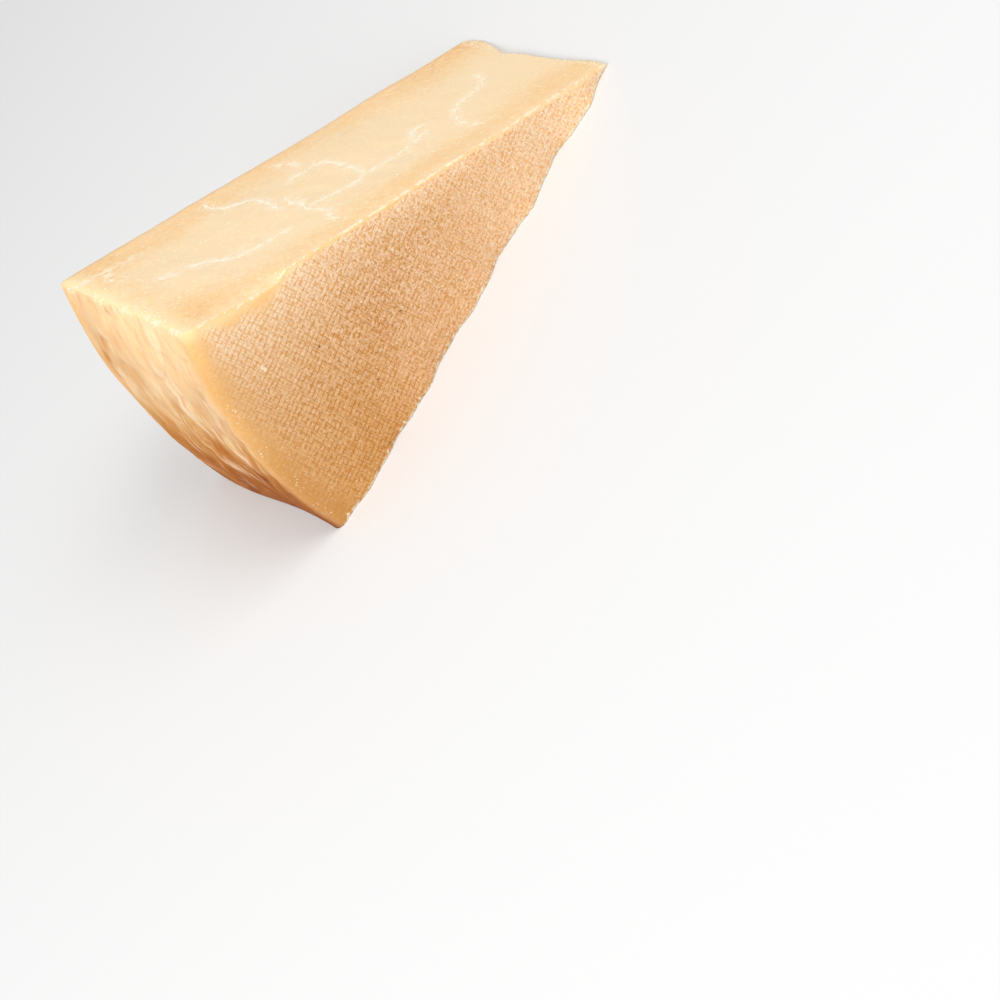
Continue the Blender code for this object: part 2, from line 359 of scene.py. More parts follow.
def wrinkles(height, arc):
    """Fine rise of the rind: long waves of two sizes, which die away at the rim's four edges."""
    across = height - WHEEL_HEIGHT / 2.0
    squeezed = arc * WRINKLE_SQUEEZE
    rise = sum(deep * lumps(across, squeezed, size, seed, FINE_WAVES) for size, deep, seed in WRINKLES)
    inside = smooth_step(0.0, LUMP_MARGIN, np.minimum(height, WHEEL_HEIGHT - height))
    ends = smooth_step(0.0, LUMP_MARGIN / 2.0, np.minimum(arc, ARC_LENGTH - arc))
    return rise * (0.25 + 0.75 * inside) * ends


def crumble(along, across, distance, depth, seed):
    """Loss at an edge: uneven bites of a given depth, fading with the distance from the edge."""
    bites = smooth_step(-0.6, 1.4, lumps(along, across, CRUMBLE_SIZE, seed, FINE_WAVES))
    return depth * bites * np.exp(-distance / CRUMBLE_REACH)


print("wrinkles are", [round(deep / MM, 3) for _, deep, _ in WRINKLES], "mm high")

# %% [markdown]
# ## From a place in the wheel to a point in space
#
# One function of the place makes every side of the wedge. It also remembers what the finish needs to know
# about each point, such as how hard the cloth pressed there.

# %% The cloth on both flats, and the knife on the upper cut
FRONT_CLOTH_SEED = 21
BACK_CLOTH_SEED = 31


def press_flats(radius, flat_x, above, below, on_flats):
    """Depth of the cloth's print in both flats, with its threads and its strengths for the finish."""
    kept = {"front_cloth": cloth_threads(flat_x, above, FRONT_CLOTH_SEED),
            "back_cloth": cloth_threads(flat_x, above, BACK_CLOTH_SEED),
            "press_front": cloth_press(radius, above, below, 1.0) * on_flats[0],
            "press_back": cloth_press(radius, above, below, 0.0) * on_flats[1]}
    depth = CLOTH_DEPTH * (1.0 - 0.5 * smooth_step(*SHALLOWER, radius))
    pressed = depth * ((1.0 - cloth_cells(*kept["front_cloth"])) * kept["press_front"]
                       - (1.0 - cloth_cells(*kept["back_cloth"])) * kept["press_back"])
    return pressed, kept


def knife_lift(radius, height, turn):
    """Rise of the upper cut as in the solid, with the knife's finer waves and a crumbled front edge."""
    on_top = smooth_step(TOP_SHARE, 1.0, turn) * smooth_step(0.0, CUT_WAVE_SIZE, radius)
    lift = top_lift(radius, height, turn)
    lift = lift + KNIFE_WAVE_HEIGHT * lumps(radius, height, KNIFE_WAVE_SIZE, 73) * on_top
    return lift - crumble(radius, height, np.maximum(height, 0.0), CRUMBLE_DEPTH, 74) * on_top


print("waves of", KNIFE_WAVE_HEIGHT / MM, "mm lie on the cut's long ones of", CUT_WAVE_HEIGHT / MM, "mm")

# %% The chunk's surface
FLAT_EDGE = 0.3 * MM  # what holds for a flat alone dies away over this distance from it
FRONT_DEPTH = 12.0 * MM  # how far under the front flat its unevenness reaches
RELIEF_DEPTH = 20.0 * MM  # and how far under the rind its relief does


def chunk_surface(out, height, turn):
    """Points and their places, for shares out from the tip, heights and turns.

    The radius grows from the tip's setback to the wheel's radius with the rind's relief added. The height
    takes the front flat's unevenness and the cloth's grooves. The angle grows with the turn, and the upper
    cut is lifted square to its own plane.
    """
    flat_front = np.exp(-height / FLAT_EDGE)
    flat_back = np.exp(-(WHEEL_HEIGHT - height) / FLAT_EDGE)
    bitten = TIP_CRUMBLE_DEPTH * (1.0 + lumps(height, turn * MM, TIP_CRUMBLE_SIZE, 61))
    setback = tip_setback(height, turn) + bitten
    radius = setback + out * (WHEEL_RADIUS - setback)
    whole_angle = ANGLE_FRONT + (ANGLE_BACK - ANGLE_FRONT) * height / WHEEL_HEIGHT
    angle = turn * whole_angle
    relief = rind_relief(height, turn * ARC_LENGTH) + wrinkles(height, turn * ARC_LENGTH)
    radius, height = round_rim(radius, height)
    near_rim = smooth_step(WHEEL_RADIUS - RELIEF_DEPTH, WHEEL_RADIUS - RIM_ROUNDING_FRONT, radius)
    radius = radius + relief * near_rim

    above = radius * np.sin(angle)
    below = radius * np.sin(whole_angle - angle)
    flat_x = WHEEL_RADIUS / 2.0 - radius * np.cos(angle)
    pressed, kept = press_flats(radius, flat_x, above, below, (flat_front, flat_back))
    near_front = np.clip(1.0 - height / FRONT_DEPTH, 0.0, 1.0) ** 2
    loss_front = crumble(radius, above, below + np.maximum(height, 0.0), CRUMBLE_DEPTH, 71)
    loss_front = loss_front + crumble(radius, height, above, NIBBLED_DEPTH, 72) * flat_front
    shifted = height + front_shift(radius, above, turn) * near_front + pressed + loss_front * flat_front
    lift = knife_lift(radius, height, turn)

    points = np.column_stack((WHEEL_RADIUS / 2.0 - radius * np.cos(angle) + lift * np.sin(angle),
                              shifted - WHEEL_HEIGHT / 2.0,
                              radius * np.sin(angle) + lift * np.cos(angle)))
    place = {"radius": radius, "height": height, "turn": turn, "above": above, "below": below,
             "relief": relief, "flat_x": flat_x, **kept}
    return points, place


middle, _ = chunk_surface(np.array([1.0]), np.array([WHEEL_HEIGHT / 2.0]), np.array([0.5]))
print("the middle of the rim lies at", np.round(middle[0] / MM, 1), "mm")

# %% [markdown]
# ## Lacing the grid
#
# A wedge pinches together at its tip. A plain grid would crowd thousands of slivers there, so each ring of
# the flats has as many points as its own length asks for, and neighbouring rows of unlike count are laced
# together like a boot: each triangle steps along whichever row's next point comes first.

# %% Lace two rows of points


def lace(first, first_at, second, second_at):
    """Triangles between two rows, whose points lie at rising shares; the second row is on the left."""
    next_at = np.concatenate(((first_at[1:] + first_at[:-1]) / 2.0, (second_at[1:] + second_at[:-1]) / 2.0))
    order = np.argsort(next_at, kind="stable")
    on_first = order < len(first) - 1
    i = np.concatenate(([0], np.cumsum(on_first)[:-1]))
    j = np.concatenate(([0], np.cumsum(~on_first)[:-1]))
    next_first = first[np.minimum(i + 1, len(first) - 1)]
    next_second = second[np.minimum(j + 1, len(second) - 1)]
    return np.column_stack((first[i], np.where(on_first, next_first, next_second), second[j]))


sample = [(np.arange(count), np.linspace(0.0, 1.0, count)) for count in (3, 5)]
print("rows of 3 and 5 points are laced with", len(lace(*sample[0], *sample[1])), "triangles")

# %% Rings on the flats
FRONT_SPACING = 0.40 * MM
BACK_SPACING = 1.00 * MM
TIP_COLUMNS = 3


def flat_rings(height, spacing, start):
    """Places and laced triangles of one flat, and the numbers and shares of its boundary loop."""
    rings = int(round(WHEEL_RADIUS / spacing)) + 1
    out = np.linspace(0.0, 1.0, rings)
    columns = np.maximum(np.round(out * ARC_LENGTH / spacing), TIP_COLUMNS).astype(int)
    first = start + np.concatenate(([0], np.cumsum(columns + 1)[:-1]))
    ring = np.repeat(np.arange(rings), columns + 1)
    turn = (start + np.arange(len(ring)) - first[ring]) / columns[ring]
    rows = [np.arange(f, f + c + 1) for f, c in zip(first, columns)]
    shares = [np.linspace(0.0, 1.0, c + 1) for c in columns]
    laced = [lace(rows[k], shares[k], rows[k + 1], shares[k + 1]) for k in range(rings - 1)]
    place = np.column_stack((out[ring], np.full(len(ring), height), turn))
    last = first + columns
    loop = np.concatenate((first, rows[-1][1:], last[::-1][1:], rows[0][::-1][1:]))
    loop_at = np.concatenate((out, 1.0 + shares[-1][1:], 3.0 - out[::-1][1:], 4.0 - shares[0][::-1][1:]))
    return place, np.concatenate(laced), loop, loop_at


front, front_faces, front_loop, front_at = flat_rings(0.0, FRONT_SPACING, 0)
back, back_faces, back_loop, back_at = flat_rings(WHEEL_HEIGHT, BACK_SPACING, len(front))
print("the front flat has", len(front), "points and the back one", len(back))

# %% Loops round the sides between the flats
LOOPS = 96
LOOP_CROWDING = 0.43 * math.pi  # the larger, the closer the loops lie beside the flats
LOWER_STEPS = 90
RIM_STEPS = 125
UPPER_STEPS = 250


def side_loops(heights, start):
    """Places of the loops round the sides: lower cut, rim, upper cut, tip; and one loop's shares."""
    steps = (LOWER_STEPS, RIM_STEPS, UPPER_STEPS, TIP_COLUMNS)
    at = np.concatenate([k + np.arange(count) / count for k, count in enumerate(steps)])
    out = np.interp(at, (0.0, 1.0, 2.0, 3.0, 4.0), (0.0, 1.0, 1.0, 0.0, 0.0))
    turn = np.interp(at, (0.0, 1.0, 2.0, 3.0, 4.0), (0.0, 0.0, 1.0, 1.0, 0.0))
    count = len(heights)
    place = np.column_stack((np.tile(out, count), np.repeat(heights, len(at)), np.tile(turn, count)))
    loops = [np.append(np.arange(len(at)), 0) + start + k * len(at) for k in range(count)]
    return place, loops, np.append(at, 4.0)


even = np.linspace(-1.0, 1.0, LOOPS)
loop_heights = WHEEL_HEIGHT / 2.0 * (1.0 + np.sin(even * LOOP_CROWDING) / math.sin(LOOP_CROWDING))
sides, side_rows, side_at = side_loops(loop_heights[1:-1], len(front) + len(back))
print(len(side_rows), "loops of", len(side_rows[0]) - 1, "points")

# %% Lace flats and loops into one closed mesh
rows = [front_loop, *side_rows, back_loop]
row_shares = [front_at, *[side_at] * len(side_rows), back_at]
side_faces = [lace(rows[k], row_shares[k], rows[k + 1], row_shares[k + 1]) for k in range(len(rows) - 1)]
chunk_faces = np.concatenate((front_faces, back_faces[:, ::-1], *side_faces))
chunk_places = np.concatenate((front, back, sides))
print(len(chunk_places), "points and", len(chunk_faces), "triangles")

# %% Work out the points, and fit them to the solid's box
points, place = chunk_surface(*chunk_places.T)
drawn_low, drawn_high = points.min(axis=0), points.max(axis=0)
fit_scale = (wedge_high - wedge_low) / (drawn_high - drawn_low)


def fit_to_solid(drawn):
    """Carry drawn points into the solid's own box, a stretch of well under one part in a hundred."""
    return wedge_low + (drawn - drawn_low) * fit_scale


points = fit_to_solid(points)
print("stretched by", np.round(fit_scale, 4))

# %% Is the mesh closed, and do its faces look out?


def closed_volume(points, faces):
    """Volume inside the faces, a sixth of the summed triple products; more than zero if they face out."""
    a, b, c = (points[faces[:, k]] for k in range(3))
    return float(np.einsum("ij,ij->i", a, np.cross(b, c)).sum() / 6.0)


edges = np.concatenate([chunk_faces[:, [0, 1]], chunk_faces[:, [1, 2]], chunk_faces[:, [2, 0]]])
names = edges[:, 0] * len(points) + edges[:, 1]
twins = edges[:, 1] * len(points) + edges[:, 0]
assert len(np.unique(names)) == len(names) and np.array_equal(np.sort(names), np.sort(twins))
print("closed, with a volume of", round(closed_volume(points, chunk_faces) * 1e6, 1), "cubic centimetres")

# %% [markdown]
# ## What the finish needs to know
#
# Each point carries a few shares from 0 to 1, worked out from its place: which side it is on, how hard the
# cloth pressed, how warm its colour is, and where the surface is worn or torn. The paste is palest in the
# heart of the wheel's cut and warmer near the rind, where it dried; the flats are palest near the tip and
# turn golden brown towards the rim's foot. Part of this is painted light: the flats are painted lighter
# towards the tip and the upper cut, with a painted glow in a strip under that cut, and the rind is painted
# darker at its foot.

# %% Shares of the sides
WHOLE = 0.999  # a share above this counts as one
RIND_COMES_IN = (2.5 * MM, 0.5 * MM)  # on the flats, between these distances from the rim
height, radius, turn = place["height"], place["radius"], place["turn"]
above, below, flat_x = place["above"], place["below"], place["flat_x"]
from_rim = WHEEL_RADIUS + place["relief"] - radius
out_share, drawn_height = chunk_places[:, 0], chunk_places[:, 1]
from_flat = np.minimum(drawn_height, WHEEL_HEIGHT - drawn_height)
front_side = drawn_height < WHEEL_HEIGHT / 2.0
flat_share = np.exp(-from_flat / FLAT_EDGE)
on_rim = np.where(out_share > WHOLE, 1.0, smooth_step(*RIND_COMES_IN, from_rim) * flat_share)
on_cut = ((turn > WHOLE) | (turn < 1.0 - WHOLE) | (out_share < 1.0 - WHOLE)) & (out_share < WHOLE)
rim_start = (1.0 - 5.5 * (1.0 - turn) ** 2) * MM  # the flats' bare bands run on round the edge,
rim_end = (3.0 + 7.0 * turn) * MM  # and further so towards the upper cut
rim_share = on_rim * smooth_step(rim_start, rim_end, from_flat)
cloth_share = np.clip(np.maximum(flat_share, on_rim) - rim_share, 0.0, 1.0)
print(int(on_cut.sum()), "points lie on the cuts and", int((rim_share > 0.5).sum()), "on the rind")

# %% Soft patches


def spot(along, across, middle, size):
    """A soft round patch: 1 in the middle and falling off as a bell."""
    return np.exp(-((along - middle[0]) / size[0]) ** 2 - ((across - middle[1]) / size[1]) ** 2)


def patches(spots, along, across, join=sum):
    """Soft patches, given by their middles, sizes and strengths in millimetres, added up or joined."""
    return join([share * spot(along / MM, across / MM, middle, size) for middle, size, share in spots])


print("one size off its middle a patch is", round(float(spot(1.0, 0.0, (0.0, 0.0), (1.0, 1.0))), 2), "strong")

# %% Warmth of the cuts and of the flats
WARM_PATCHES = (  # on the cuts: radius and height of the middle, then the size and the strength
    ((154.0, 16.0), (9.0, 11.0), 0.45),
    ((146.0, 60.0), (9.0, 7.0), 0.30),
    ((14.0, 66.0), (26.0, 14.0), 0.35),
    ((12.0, 14.0), (22.0, 14.0), 0.25),
    ((158.0, 44.0), (7.0, 24.0), 0.45),
)
WARM_BACK_START = 42.0 * MM  # from here to the back flat the cuts grow warmer
WARM_FRONT_STRIP = 6.0 * MM  # and again along this strip by the front flat
WARM_STRIP_WIDTH = 8.0 * MM
WARM_BY_RIM = (-25.0 * MM, -52.0 * MM)  # along the chunk, from one place to the other
WARM_UPPER_REACH = 18.0 * MM  # and a little towards the upper cut
warm_cut = 0.7 * smooth_step(WARM_BACK_START, WHEEL_HEIGHT, height)
warm_cut = warm_cut + 0.6 * bell(height, WARM_FRONT_STRIP, WARM_STRIP_WIDTH)
warm_cut = warm_cut + patches(WARM_PATCHES, radius, height)
warm_cut = warm_cut + 0.04 * lumps(radius, height, 22.0 * MM, 81)
warm_flat = 0.30 + 0.70 * smooth_step(*WARM_BY_RIM, flat_x)
warm_flat = warm_flat + 0.3 * np.exp(-np.maximum(below, 0.0) / WARM_UPPER_REACH)
warm_flat = warm_flat + 0.08 * lumps(flat_x, above, 25.0 * MM, 82)
warm = np.where(on_cut, warm_cut, warm_flat)
print("mean warmth of the cuts:", round(float(warm_cut[on_cut].mean()), 2))

# %% Freshness of the flats, partly painted light: lighter towards the tip and the upper cut
FRESH_AND_LIT_PATCHES = (((-75.0, 48.0), (6.0, 15.0), 0.20), ((-22.0, 10.0), (14.0, 10.0), 0.08))
FRESH_AND_LIT_RADIUS = 112.0 * MM  # the flats grow fresher, and are painted lighter, from here to the tip
FRESH_AND_LIT_SPAN = 90.0 * MM
FRESH_AND_LIT_REACH = 12.0 * MM  # and towards the upper cut,
FRESH_AND_LIT_REACH_GROWS = (110.0 * MM, 150.0 * MM)  # with a longer reach past these radii
reach = FRESH_AND_LIT_REACH * (1.0 + 1.5 * smooth_step(*FRESH_AND_LIT_REACH_GROWS, radius))
# lighter towards the tip and the upper cut: partly fresher paste, partly painted light
fresh_and_lit = np.maximum((FRESH_AND_LIT_RADIUS - radius) / FRESH_AND_LIT_SPAN, np.exp(-np.maximum(below, 0.0) / reach))
fresh_and_lit = np.clip(fresh_and_lit + patches(FRESH_AND_LIT_PATCHES, flat_x, above), 0.0, 1.0)
print("freshness of the front flat:", round(float(fresh_and_lit[: len(front)].mean()), 2))

# %% Age of the rind, darkened towards the foot partly with painted shade
AGE_AND_SHADE_PATCHES = (  # middle's height and arc, size, and how much darker or paler: age and painted shade
    ((10.0, 66.0), (4.0, 16.0), 0.10), ((20.0, 23.0), (5.0, 6.0), 0.14), ((32.0, 34.0), (4.0, 6.0), 0.09),
    ((20.0, 46.0), (5.0, 6.0), -0.06), ((4.0, 36.0), (4.0, 8.0), -0.07), ((32.0, 54.0), (5.0, 6.0), -0.07),
    ((44.0, 28.0), (6.0, 8.0), -0.03), ((31.0, 8.0), (6.0, 7.0), -0.07), ((44.0, 52.0), (4.0, 6.0), 0.06),
    ((44.0, 85.0), (4.0, 4.0), 0.12), ((3.0, 85.0), (4.0, 4.0), 0.10), ((10.0, 46.0), (4.0, 6.0), -0.07),
)
BACK_OF_RIND = (43.0 * MM, 55.0 * MM)  # past these heights the rind is darker above and paler at the foot
DARKER_ABOVE = (50.0 * MM, 64.0 * MM)
PALER_BELOW = (22.0 * MM, 11.0 * MM)
arc = turn * ARC_LENGTH
by_arc = 0.20 * smooth_step(*DARKER_ABOVE, arc) - 0.13 * smooth_step(*PALER_BELOW, arc)
aged_and_shaded = 1.0 - turn + by_arc * smooth_step(*BACK_OF_RIND, height)
aged_and_shaded = aged_and_shaded + patches(AGE_AND_SHADE_PATCHES, height, arc)
aged_and_shaded = aged_and_shaded + 0.03 * lumps(height, arc * WRINKLE_SQUEEZE, 9.0 * MM, 83)
print("the rind's age runs from", np.round([aged_and_shaded.min(), aged_and_shaded.max()], 2))

# %% Crevices and crests of the rind, with painted shade in the crevices and folds and painted highlights on the crests
CREVICES = (  # height and arc of the middle, then the size and the strength
    ((21.0, 43.0), (1.6, 3.2), 0.9), ((51.0, 40.0), (1.8, 3.6), 0.8), ((60.5, 63.5), (1.4, 3.5), 1.0),
    ((21.0, 74.0), (2.4, 1.6), 0.5), ((49.0, 72.0), (2.0, 3.0), 0.6), ((58.5, 70.0), (1.3, 3.0), 0.9),
    ((63.5, 56.5), (1.4, 4.0), 1.0), ((44.0, 84.0), (1.4, 1.6), 0.6),
    ((10.0, 56.0), (2.4, 12.0), 0.6), ((10.5, 38.0), (2.2, 7.0), 0.6), ((64.0, 74.0), (3.0, 5.0), 0.4),
)
# the rind's pale crests: painted highlights where the ridges catch the light
CREST_HIGHLIGHTS = (
    ((14.0, 57.0), (2.2, 3.4), 1.0), ((6.5, 49.0), (1.6, 3.4), 0.7), ((36.8, 45.0), (1.8, 2.4), 0.9),
    ((41.0, 39.0), (1.8, 2.6), 1.0), ((19.0, 30.5), (2.4, 4.0), 1.0), ((34.0, 23.0), (3.0, 4.0), 0.9),
    ((65.5, 66.8), (1.4, 1.8), 0.8), ((39.5, 8.5), (2.4, 3.0), 0.7), ((47.0, 28.0), (2.6, 3.6), 0.8),
    ((29.0, 54.0), (3.0, 10.0), 0.8), ((27.0, 40.0), (2.4, 5.0), 0.8), ((60.0, 12.0), (5.0, 4.0), 0.7),
)
STREAKIEST = ((22.0, 28.0), (26.0, 22.0))  # middle and size of the place with the strongest streaks
crevice = patches(CREVICES, height, arc, np.maximum.reduce) * rim_share
crest_highlight = patches(CREST_HIGHLIGHTS, height, arc, np.maximum.reduce) * rim_share
streaky = 0.25 + 0.75 * spot(height / MM, arc / MM, *STREAKIEST)
# Painted shade: the rind is darkened where the lumps' creases run.
fold = np.abs(lumps(height - WHEEL_HEIGHT / 2.0, arc * LUMP_SQUEEZE, LUMP_SIZE, LUMP_SEED))
fold_shade = smooth_step(0.4, 0.0, fold) * rim_share
print(len(CREVICES), "crevices and", len(CREST_HIGHLIGHTS), "crests")

# %% The yellow of the rind's side of the cuts, and a painted glow on a thin strip of the flat under the upper cut
RIND_EDGE_START = 156.0 * MM  # from here to the rind the cuts are pale yellow
GLOW_LEAST = 0.7  # the strip's depth, in millimetres
GLOW_STEPS = (  # between two radii it gets so much deeper
    (118.0, 130.0, 2.3), (144.0, 152.0, 1.0), (80.0, 40.0, 0.6))
GLOW_BREAK, GLOW_BREAK_WIDTH = 138.5 * MM, 7.0 * MM  # the chip interrupts it
strip_depth = GLOW_LEAST + sum(
    more * smooth_step(first * MM, last * MM, radius) for first, last, more in GLOW_STEPS)
# Painted glow: a strip of the front flat under the upper cut is painted yellow, as if light shone through the
# edge.
edge_glow = smooth_step(1.2, 0.2, below / MM / strip_depth) * ~on_cut * front_side
edge_glow = edge_glow * (1.0 - 0.8 * bell(radius, GLOW_BREAK, GLOW_BREAK_WIDTH))
yellow_and_glow = np.maximum(smooth_step(RIND_EDGE_START, WHEEL_RADIUS, radius) * on_cut, edge_glow)
print("the strip is up to", round(float(strip_depth.max()), 1), "mm deep")

# %% Worn and torn edges
WIDEST_TEAR, WIDEST_SPAN = 88.0 * MM, 32.0 * MM  # where the cut's front edge is torn deepest
SOUND_EDGE, SOUND_SPAN = 137.0 * MM, 6.0 * MM  # where it is hardly torn
BY_TIP = (85.0 * MM, 50.0 * MM)
BLOTCH = ((-55.8, 54.0), (0.9, 1.2))  # a rubbed place on the front flat, in millimetres
edge_noise = lumps(radius, above, 2.0 * MM, 84, FINE_WAVES)
torn_depth = 1.0 + 0.7 * on_cut * bell(radius, WIDEST_TEAR, WIDEST_SPAN)
torn_front = (below + np.maximum(height, 0.0)) / MM / torn_depth - 0.20 * edge_noise
torn_front = smooth_step(0.80, 0.25, torn_front) * (1.0 - 0.7 * bell(radius, SOUND_EDGE, SOUND_SPAN))
flat_side = 0.25 + 0.6 * smooth_step(CHIP_START, CHIP_DEEPEST, radius) + 0.35 * smooth_step(*BY_TIP, radius)
torn_front = torn_front * np.where(on_cut, 1.0, flat_side)
torn_front = torn_front * smooth_step(-1.2, 0.8, lumps(radius, 0.0 * radius, 5.0 * MM, 87))
torn_foot = 0.75 * smooth_step(1.3, 0.3, (above + np.maximum(height, 0.0)) / MM - 0.3 * edge_noise)
torn_tip = 0.5 * smooth_step(3.0, 0.4, (radius - 4.0 * MM) / MM - 0.8 * lumps(height, above, 3.0 * MM, 85))
rim_top = 0.7 * smooth_step(2.4, 0.3, (from_rim + below) / MM - 0.6 * lumps(height, below, 2.2 * MM, 86))
rim_top = rim_top * (0.35 + 0.65 * smooth_step(-0.9, 0.7, lumps(height, 0.0 * height, 6.0 * MM, 88)))
blotch = 0.9 * spot(flat_x / MM, above / MM, *BLOTCH) * front_side
worn = np.clip(np.maximum.reduce((torn_front, torn_foot, torn_tip, rim_top, blotch)), 0.0, 1.0)
print("worn paste shows on", int((worn > 0.5).sum()), "points")

# %% Order and strength of the cloth's imprint
LOSES_ORDER = (-50.0 * MM, 5.0 * MM)  # along the chunk, between these places
DEEPEST_BITE = ((-24.0, 36.0), (36.0, 24.0))  # middle and size of where the cloth bit deepest
disorder = smooth_step(*LOSES_ORDER, flat_x)
bite = 0.82 + 0.40 * spot(flat_x / MM, above / MM, *DEEPEST_BITE)
both_cloths = zip(place["front_cloth"], place["back_cloth"])
threads = np.column_stack([np.where(front_side, *pair) for pair in both_cloths])
press = np.maximum(place["press_front"], place["press_back"])
print("cloth pressed on", round(float(press[: len(front)].mean()), 2), "of the front flat's points")

# %% [markdown]
# ## From arrays to a mesh
#
# A mesh could be built point by point with bmesh, but these shapes are whole arrays already, so each goes in
# at one stroke. What the finish needs to know goes along as attributes, one value for each point.

# %% Put a shape into Blender


def add_piece(name, points, faces, material, smooth=True):
    """A mesh object at the origin from arrays of points and faces."""
    mesh = bpy.data.meshes.new(name)
    mesh.from_pydata(points.tolist(), [], faces.tolist())
    mesh.polygons.foreach_set("use_smooth", np.full(len(mesh.polygons), smooth))
    mesh.materials.append(material)
    piece = bpy.data.objects.new(name, mesh)
    bpy.context.scene.collection.objects.link(piece)
    return piece


def note(piece, name, values):
    """Keep one number, or three, for each point of a piece, for its material to read."""
    kind = "FLOAT" if values.ndim == 1 else "FLOAT_VECTOR"
    kept = piece.data.attributes.new(name, kind, "POINT")
    kept.data.foreach_set("value" if values.ndim == 1 else "vector", values.astype(np.float32).ravel())


# %% [markdown]
# ## Mixing the finishes
#
# A finish is a little recipe of nodes. Writing node by node is long-winded, so a small helper adds a node,
# feeds it, and hands back its output, and each recipe reads like a sum.

# %% Colours as they show on a screen


def colour(red, green, blue):
    """A colour from 0 to 255 as it shows on a screen, turned into light."""
    shown = np.array((red, green, blue)) / 255.0
    light = np.where(shown <= 0.04045, shown / 12.92, ((shown + 0.055) / 1.055) ** 2.4)
    return (*[float(part) for part in light], 1.0)


print("a middle grey sends back", round(colour(128, 128, 128)[0], 2), "of the light")

# %% A helper for recipes


class Recipe:
    """A material whose nodes are added one call at a time."""

    def __init__(self, name):
        self.material = bpy.data.materials.new(name)
        self.material.use_nodes = True
        self.tree = self.material.node_tree
        self.shader = self.tree.nodes["Principled BSDF"]
        self.place = self.add("ShaderNodeTexCoord").outputs["Object"]

    def add(self, kind, **settings):
        """A node of a kind, with its settings."""
        node = self.tree.nodes.new(kind)
        for name, value in settings.items():
            setattr(node, name, value)
        return node

    def feed(self, socket, value):
        """Give a socket another node's output, or a plain value."""
        if isinstance(value, bpy.types.NodeSocket):
            self.tree.links.new(value, socket)
        else:
            socket.default_value = value

    def read(self, name, part="Fac"):
        """What the points of the piece keep under a name."""
        return self.add("ShaderNodeAttribute", attribute_name=name).outputs[part]

    def work(self, operation, *values):
        """Arithmetic on sockets and numbers."""
        node = self.add("ShaderNodeMath", operation=operation)
        for socket, value in zip(node.inputs, values):
            self.feed(socket, value)
        return node.outputs[0]

    def shift(self, place, amount, share):
        """Move a place by a noise colour's distance from grey."""
        centred = self.add("ShaderNodeVectorMath", operation="SUBTRACT")
        self.feed(centred.inputs[0], amount)
        centred.inputs[1].default_value = (0.5, 0.5, 0.5)
        scaled = self.add("ShaderNodeVectorMath", operation="SCALE")
        self.tree.links.new(centred.outputs[0], scaled.inputs[0])
        self.feed(scaled.inputs["Scale"], share)
        moved = self.add("ShaderNodeVectorMath", operation="ADD")
        self.feed(moved.inputs[0], place)
        self.tree.links.new(scaled.outputs[0], moved.inputs[1])
        return moved.outputs[0]

    def noise(self, size, detail=2.0, rough=0.5, warp=0.0, place=None, part=0):
        """Noise whose patches are about as long as size, in metres."""
        node = self.add("ShaderNodeTexNoise")
        self.feed(node.inputs["Vector"], self.place if place is None else place)
        node.inputs["Scale"].default_value = 0.5 / size
        node.inputs["Detail"].default_value = detail
        node.inputs["Roughness"].default_value = rough
        node.inputs["Distortion"].default_value = warp
        return node.outputs[part]

    def grains(self, size, place):
        """Packed grains: how far a point is from the nearest gap between them, in shares of their size."""
        node = self.add("ShaderNodeTexVoronoi", feature="DISTANCE_TO_EDGE")
        self.feed(node.inputs["Vector"], place)
        node.inputs["Scale"].default_value = 1.0 / size
        return node.outputs["Distance"]

    def fade(self, value, low, high, start=0.0, end=1.0):
        """Go softly from start at low to end at high."""
        node = self.add("ShaderNodeMapRange", interpolation_type="SMOOTHSTEP")
        ends = {"From Min": low, "From Max": high, "To Min": start, "To Max": end}
        for name, given in (("Value", value), *ends.items()):
            self.feed(node.inputs[name], given)
        return node.outputs[0]

    def ramp(self, value, stops):
        """Run through colours placed along a value from 0 to 1."""
        node = self.add("ShaderNodeValToRGB")
        self.feed(node.inputs[0], value)
        while len(node.color_ramp.elements) < len(stops):
            node.color_ramp.elements.new(0.5)
        for element, (at, shade) in zip(node.color_ramp.elements, stops):
            element.position = at
            element.color = shade
        return node.outputs[0]

    def mix(self, share, first, second, blend="MIX"):
        """Mix two colours by a share of the second."""
        node = self.add("ShaderNodeMix", data_type="RGBA", blend_type=blend, clamp_factor=True)
        for socket, value in ((node.inputs[0], share), (node.inputs[6], first), (node.inputs[7], second)):
            self.feed(socket, value)
        return node.outputs[2]

    def blend(self, share, first, second):
        """Mix two numbers by a share of the second."""
        node = self.add("ShaderNodeMix", data_type="FLOAT", clamp_factor=True)
        for socket, value in ((node.inputs[0], share), (node.inputs[2], first), (node.inputs[3], second)):
            self.feed(socket, value)
        return node.outputs[0]

    def relief(self, height_mm):
        """Shade a height given in millimetres."""
        node = self.add("ShaderNodeBump")
        node.inputs["Strength"].default_value = 1.0
        node.inputs["Distance"].default_value = MM
        self.feed(node.inputs["Height"], height_mm)
        self.tree.links.new(node.outputs[0], self.shader.inputs["Normal"])

    def set(self, **settings):
        """Feed the shader's inputs, each named with _ for a space."""
        for name, value in settings.items():
            self.feed(self.shader.inputs[name.replace("_", " ")], value)


# %% [markdown]
# The paste is dense and a little see-through, so light bleeds under its surface and softens it. Its colour
# drifts from cream to straw, with fine pale grains.

# %% The paste
PASTE_PALE = colour(250, 221, 179)
PASTE_WARM = colour(248, 206, 150)
PASTE_DEEP = colour(236, 180, 116)
PASTE_YELLOW_AND_GLOW = colour(255, 228, 176)
CRUMB_PALE = colour(255, 239, 213)


